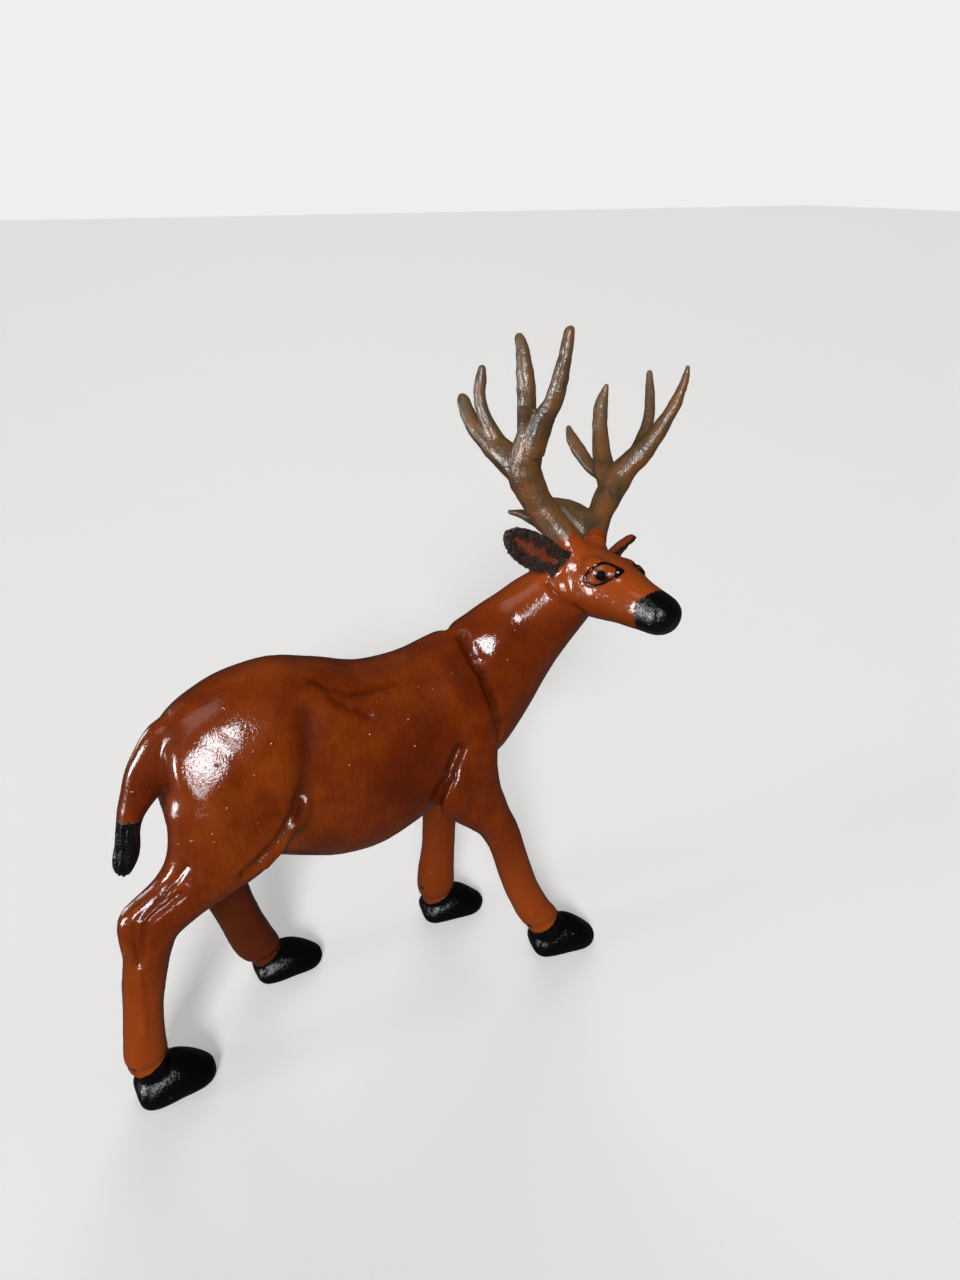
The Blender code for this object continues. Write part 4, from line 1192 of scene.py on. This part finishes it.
def paint_ears(made, place, fibre, colour):
    """The ears' hollow faces, painted black with a dry brush from the rim inwards, with light specks that
    are partly painted highlights on the bristles.
    """
    patch = made.noise(place, 0.0050, 3, 0.6, 0.5)
    rim = made.minus(made.field("ear_rim"), made.total((10.0, fibre), (11.0, patch)))
    rim_black = made.step(rim, -3.4, -1.8, 1.0, 0.0)
    root_black = made.step(made.field("ear_share"), 0.20, 0.34, 1.0, 0.0)
    black = made.most(rim_black, made.times(root_black, made.step(patch, 0.40, 0.52)))
    hollow = made.step(made.field("ear_face"), -1.2, -0.2)
    black = made.times(black, hollow)
    colour = made.over(colour, EAR_STAIN, hollow, 0.5)
    colour = made.over(colour, EAR_BLACK, black)
    # Light specks on the black: dry-brushed wood showing through, and painted highlights on the bristles
    specks_and_sheen = made.times(black, made.step(fibre, 0.56, 0.63, 0.0, 0.8))
    return made.over(colour, EAR_SPECKS_AND_SHEEN, specks_and_sheen), black, hollow


def paint_eyes(made, place, colour):
    """An almond outline, a pupil with a shaded foot, a front corner, two soft painted highlights and a
    painted reflection of a lamp as a glint.
    """
    along = made.field("eye_along")
    above = made.field("eye_above")
    wobble = made.minus(made.noise(place, 0.0016, 2), 0.5)
    inside = made.plus(made.field("eye_inside"), made.times(wobble, 0.7))
    white = made.step(inside, -0.2, 0.4)
    colour = made.over(colour, EYE_WHITE, white, 0.55)
    # Two soft painted highlights in the eye
    colour = made.over(colour, EYE_REAR_HIGHLIGHT, made.spot(along, above, (-5.6, -2.4), (1.8, 1.5)), 0.4)
    colour = made.over(colour, EYE_TOP_HIGHLIGHT, made.spot(along, above, (-2.6, 5.0), (2.6, 1.2)), 0.4)
    pupil = made.spot(along, above, (-1.0, 0.5), (3.5, 2.9))
    shade = made.spot(along, above, (1.6, -1.2), (2.6, 2.2))
    wedge = made.times(made.step(made.plus(along, wobble), 5.9, 6.3), white)
    outline = made.step(made.math("ABSOLUTE", inside), 0.55, 0.95, 1.0, 0.0)
    black = made.most(pupil, wedge, outline, made.times(shade, made.times(white, 0.85)))
    colour = made.over(colour, EYE_BLACK, black)
    # A glint that is a painted reflection of a lamp
    return made.over(colour, EYE_PAINTED_REFLECTION, made.spot(along, above, (7.7, 4.2), (0.75, 0.6))), black


def paint_black(made, place, colour):
    """Black hooves and dew claws with a ragged edge, and a brushed muzzle and tail tuft."""
    ragged = made.times(made.minus(made.noise(place, 0.0030, 3), 0.5), 2.2)
    hooves = made.step(made.plus(made.field("hoof_paint"), ragged), -0.25, 0.25)
    strokes = made.minus(made.noise(place, 0.0013, 3, 0.65), 0.5)
    brushed = made.plus(made.field("brushed_paint"), made.times(strokes, 7.0))
    paint = made.most(hooves, made.step(brushed, -0.3, 0.5))
    return made.over(colour, BLACK_PAINT, paint), hooves, paint


def body_finish():
    material = bpy.data.materials.new("lacquered_wood")
    made = Nodes(material)
    place = made.place()
    fibre = made.noise(place, 0.0009, 3, 0.75, 0.4)
    colour = stain_and_shade_body(made, place)
    colour, ear_black, hollow = paint_ears(made, place, fibre, colour)
    colour, eye_black = paint_eyes(made, place, colour)
    colour, hooves, paint = paint_black(made, place, colour)
    dark = made.most(paint, eye_black, ear_black)

    # Varnish with long swells, brush ripple and a few dust nibs, and dull in the high creases
    swell = made.noise(place, 0.0090, 2)
    ripple = made.noise(place, 0.0016, 2, 0.6, 0.5)
    nibs = made.step(made.specks(place, 0.0090), 0.04, 0.14, 1.0, 0.0)
    bristle = made.times(fibre, made.times(hollow, 3.0))
    brushing = made.times(paint, made.noise(place, 0.0017, 3, 0.6, 0.6))
    relief = made.total((0.45, swell), (0.42, ripple), (1.0, nibs), (1.0, bristle), (1.0, brushing))
    normal = made.bump(relief, BODY_RELIEF)
    worn = made.step(made.field("groove"), 0.1, 1.2, 0.0, 0.85)
    worn = made.times(worn, made.step(made.field("height"), 190.0, 205.0))
    dull = made.total((0.5, hooves), (1.0, worn))
    made.fill(
        made.nodes["Principled BSDF"],
        Base_Color=colour,
        Roughness=made.step(dark, 0.0, 1.0, 0.40, 0.34),
        Specular_IOR_Level=0.06,
        Coat_Weight=made.math("SUBTRACT", 1.0, dull, True),
        Coat_Roughness=0.07,
        Coat_IOR=VARNISH_IOR,
        Normal=normal,
        Coat_Normal=normal,
    )
    return material


def antler_finish(name, offset):
    """Grey-brown glaze over orange stain. The offset gives each antler streaks of its own."""
    material = bpy.data.materials.new(name)
    made = Nodes(material)
    place = made.place()
    tine = made.add("ShaderNodeVectorMath")
    tine.operation = "ADD"
    made.put(tine.inputs[0], made.field("tine", "Vector"))
    made.put(tine.inputs[1], (offset, 2 * offset, 0))
    streak = made.noise(made.place((1, 1, 0.14), tine.outputs[0]), 3.4, 3, 0.55, 0.3)
    cloud = made.noise(place, 0.016, 3, 0.55, 0.3)
    colour = made.ramp(made.total((0.35, streak), (0.65, cloud)), *GLAZE)
    bare = made.noise(made.place((1, 1, 0.6)), 0.017, 2, 0.5, 0.2)
    colour = made.over(colour, BARE_STAIN, made.step(bare, 0.58, 0.72, 0.0, 0.45))
    over_seat = made.field("over_seat")
    colour = made.over(colour, GREY_GLAZE, made.step(over_seat, 60.0, 125.0, 0.0, 0.5))
    foot = made.plus(over_seat, made.times(cloud, 12.0))
    colour = made.over(colour, FOOT_STAIN, made.step(foot, 7.5, 10.5, 1.0, 0.0))
    ripple = made.noise(place, 0.0018, 3, 0.6, 0.4)
    normal = made.bump(made.total((0.6, streak), (0.5, cloud), (0.9, ripple)), ANTLER_RELIEF)
    made.fill(
        made.nodes["Principled BSDF"],
        Base_Color=colour,
        Roughness=made.step(cloud, 0.3, 0.7, 0.28, 0.42),
        Coat_Weight=0.75,
        Coat_Roughness=0.06,
        Coat_IOR=VARNISH_IOR,
        Normal=normal,
        Coat_Normal=normal,
    )
    return material


def centre_on_ground(objects):
    """Shifts the objects so that the figure's box stands centred over the origin."""
    corners = np.vstack([points_of(obj) for obj in objects])
    middle = (corners.min(0) + corners.max(0)) / 2
    for obj in objects:
        set_points(obj, points_of(obj) - np.array([middle[0], middle[1], 0.0]))


def add_floor():
    mesh = bpy.data.meshes.new("floor")
    corners = [(x * FLOOR_REACH, y * FLOOR_REACH, 0) for x, y in ((-1, -1), (1, -1), (1, 1), (-1, 1))]
    mesh.from_pydata(corners, [], [(0, 1, 2, 3)])
    floor = add_object("floor", mesh)
    material = bpy.data.materials.new("pale_floor")
    made = Nodes(material)
    made.fill(
        made.nodes["Principled BSDF"],
        Base_Color=linear(246, 245, 243),
        Roughness=0.65,
        Emission_Color=linear(250, 250, 250),
        Emission_Strength=0.22,
    )
    mesh.materials.append(material)
    floor.visible_glossy = False
    floor.visible_diffuse = False


def add_lamp(name, light, azimuth, elevation, colour):
    """A lamp turned to shine from this azimuth and elevation, and the way towards it."""
    light.color = colour
    lamp = add_object(name, light)
    turn = math.radians(azimuth)
    rise = math.radians(elevation)
    way = Vector((math.cos(turn) * math.cos(rise), math.sin(turn) * math.cos(rise), math.sin(rise)))
    lamp.rotation_euler = way.to_track_quat("Z", "Y").to_euler()
    return lamp, way


def add_sun(name, azimuth, elevation, strength, width, colour):
    """A soft light from far away for the skin alone, with its width in degrees."""
    light = bpy.data.lights.new(name, "SUN")
    light.energy = strength
    light.angle = math.radians(width)
    lamp, _ = add_lamp(name, light, azimuth, elevation, colour)
    lamp.visible_glossy = False


def add_window(name, azimuth, elevation, away, width, height, glow, colour):
    """A bright window that only the varnish mirrors, with its width and height in degrees."""
    light = bpy.data.lights.new(name, "AREA")
    light.shape = "RECTANGLE"
    light.size = 2 * away * math.tan(math.radians(width / 2))
    light.size_y = 2 * away * math.tan(math.radians(height / 2))
    light.energy = glow * math.pi * light.size * light.size_y
    lamp, way = add_lamp(name, light, azimuth, elevation, colour)
    lamp.location = Vector(WINDOWS_FROM) + away * way
    lamp.visible_diffuse = False
    lamp.visible_camera = False


def add_world():
    """Even surroundings: soft light on the skin, dim in the varnish, pale to the camera."""
    world = bpy.data.worlds.new("studio")
    bpy.context.scene.world = world
    made = Nodes(world)
    way = made.add("ShaderNodeTexCoord").outputs["Generated"]
    height = made.add("ShaderNodeSeparateXYZ", Vector=way).outputs["Z"]
    around = made.fill(made.nodes["Background"], Color=(1.0, 0.97, 0.94, 1.0))
    made.fill(around, Strength=made.step(height, -0.1, 0.9, 0.10, 0.20))
    mirrored_in = made.add("ShaderNodeBackground", Color=(1.0, 0.92, 0.84, 1.0))
    made.fill(mirrored_in, Strength=made.level(height, -0.7, -0.1, 0.07, 0.028).outputs["Result"])
    behind = made.add("ShaderNodeBackground", Color=linear(240, 239, 237), Strength=1.0)
    path = made.add("ShaderNodeLightPath")
    unseen = made.choice(path.outputs["Is Glossy Ray"], around, mirrored_in)
    seen = made.choice(path.outputs["Is Camera Ray"], unseen, behind)
    made.fill(made.nodes["World Output"], Surface=seen.outputs[0])


def add_camera():
    """The photograph's viewpoint: above and behind the deer's right side."""
    data = bpy.data.cameras.new("camera")
    data.sensor_width = 36.0
    data.lens = 27.0
    camera = add_object("camera", data)
    right = Vector(CAMERA_RIGHT).normalized()
    ahead = Vector(CAMERA_AHEAD).normalized()
    turned = Matrix((right, right.cross(ahead), -ahead)).transposed().to_4x4()
    camera.matrix_world = Matrix.Translation(Vector(CAMERA_PLACE)) @ turned
    bpy.context.scene.camera = camera


def main():
    add_camera()
    add_world()
    add_floor()
    for name, row in SUNS.items():
        add_sun(name, *row)
    for name, row in WINDOWS.items():
        add_window(name, *row)
    body = build_body()
    right = build_antler("carved_antler_right", ANTLER_RIGHT, 1)
    left = build_antler("carved_antler_left", ANTLER_LEFT, -1)
    centre_on_ground([body, right, left])
    for piece, node, slot, finish in (
        (body, "body", "lacquered_wood", body_finish()),
        (right, "antler_right", "antler_wood", antler_finish("antler_glaze_right", 13.0)),
        (left, "antler_left", "antler_wood", antler_finish("antler_glaze_left", 41.0)),
    ):
        piece.data.materials.append(finish)
        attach(piece, "root")
        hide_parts(node)
    bpy.context.scene.view_settings.view_transform = "Standard"


main()
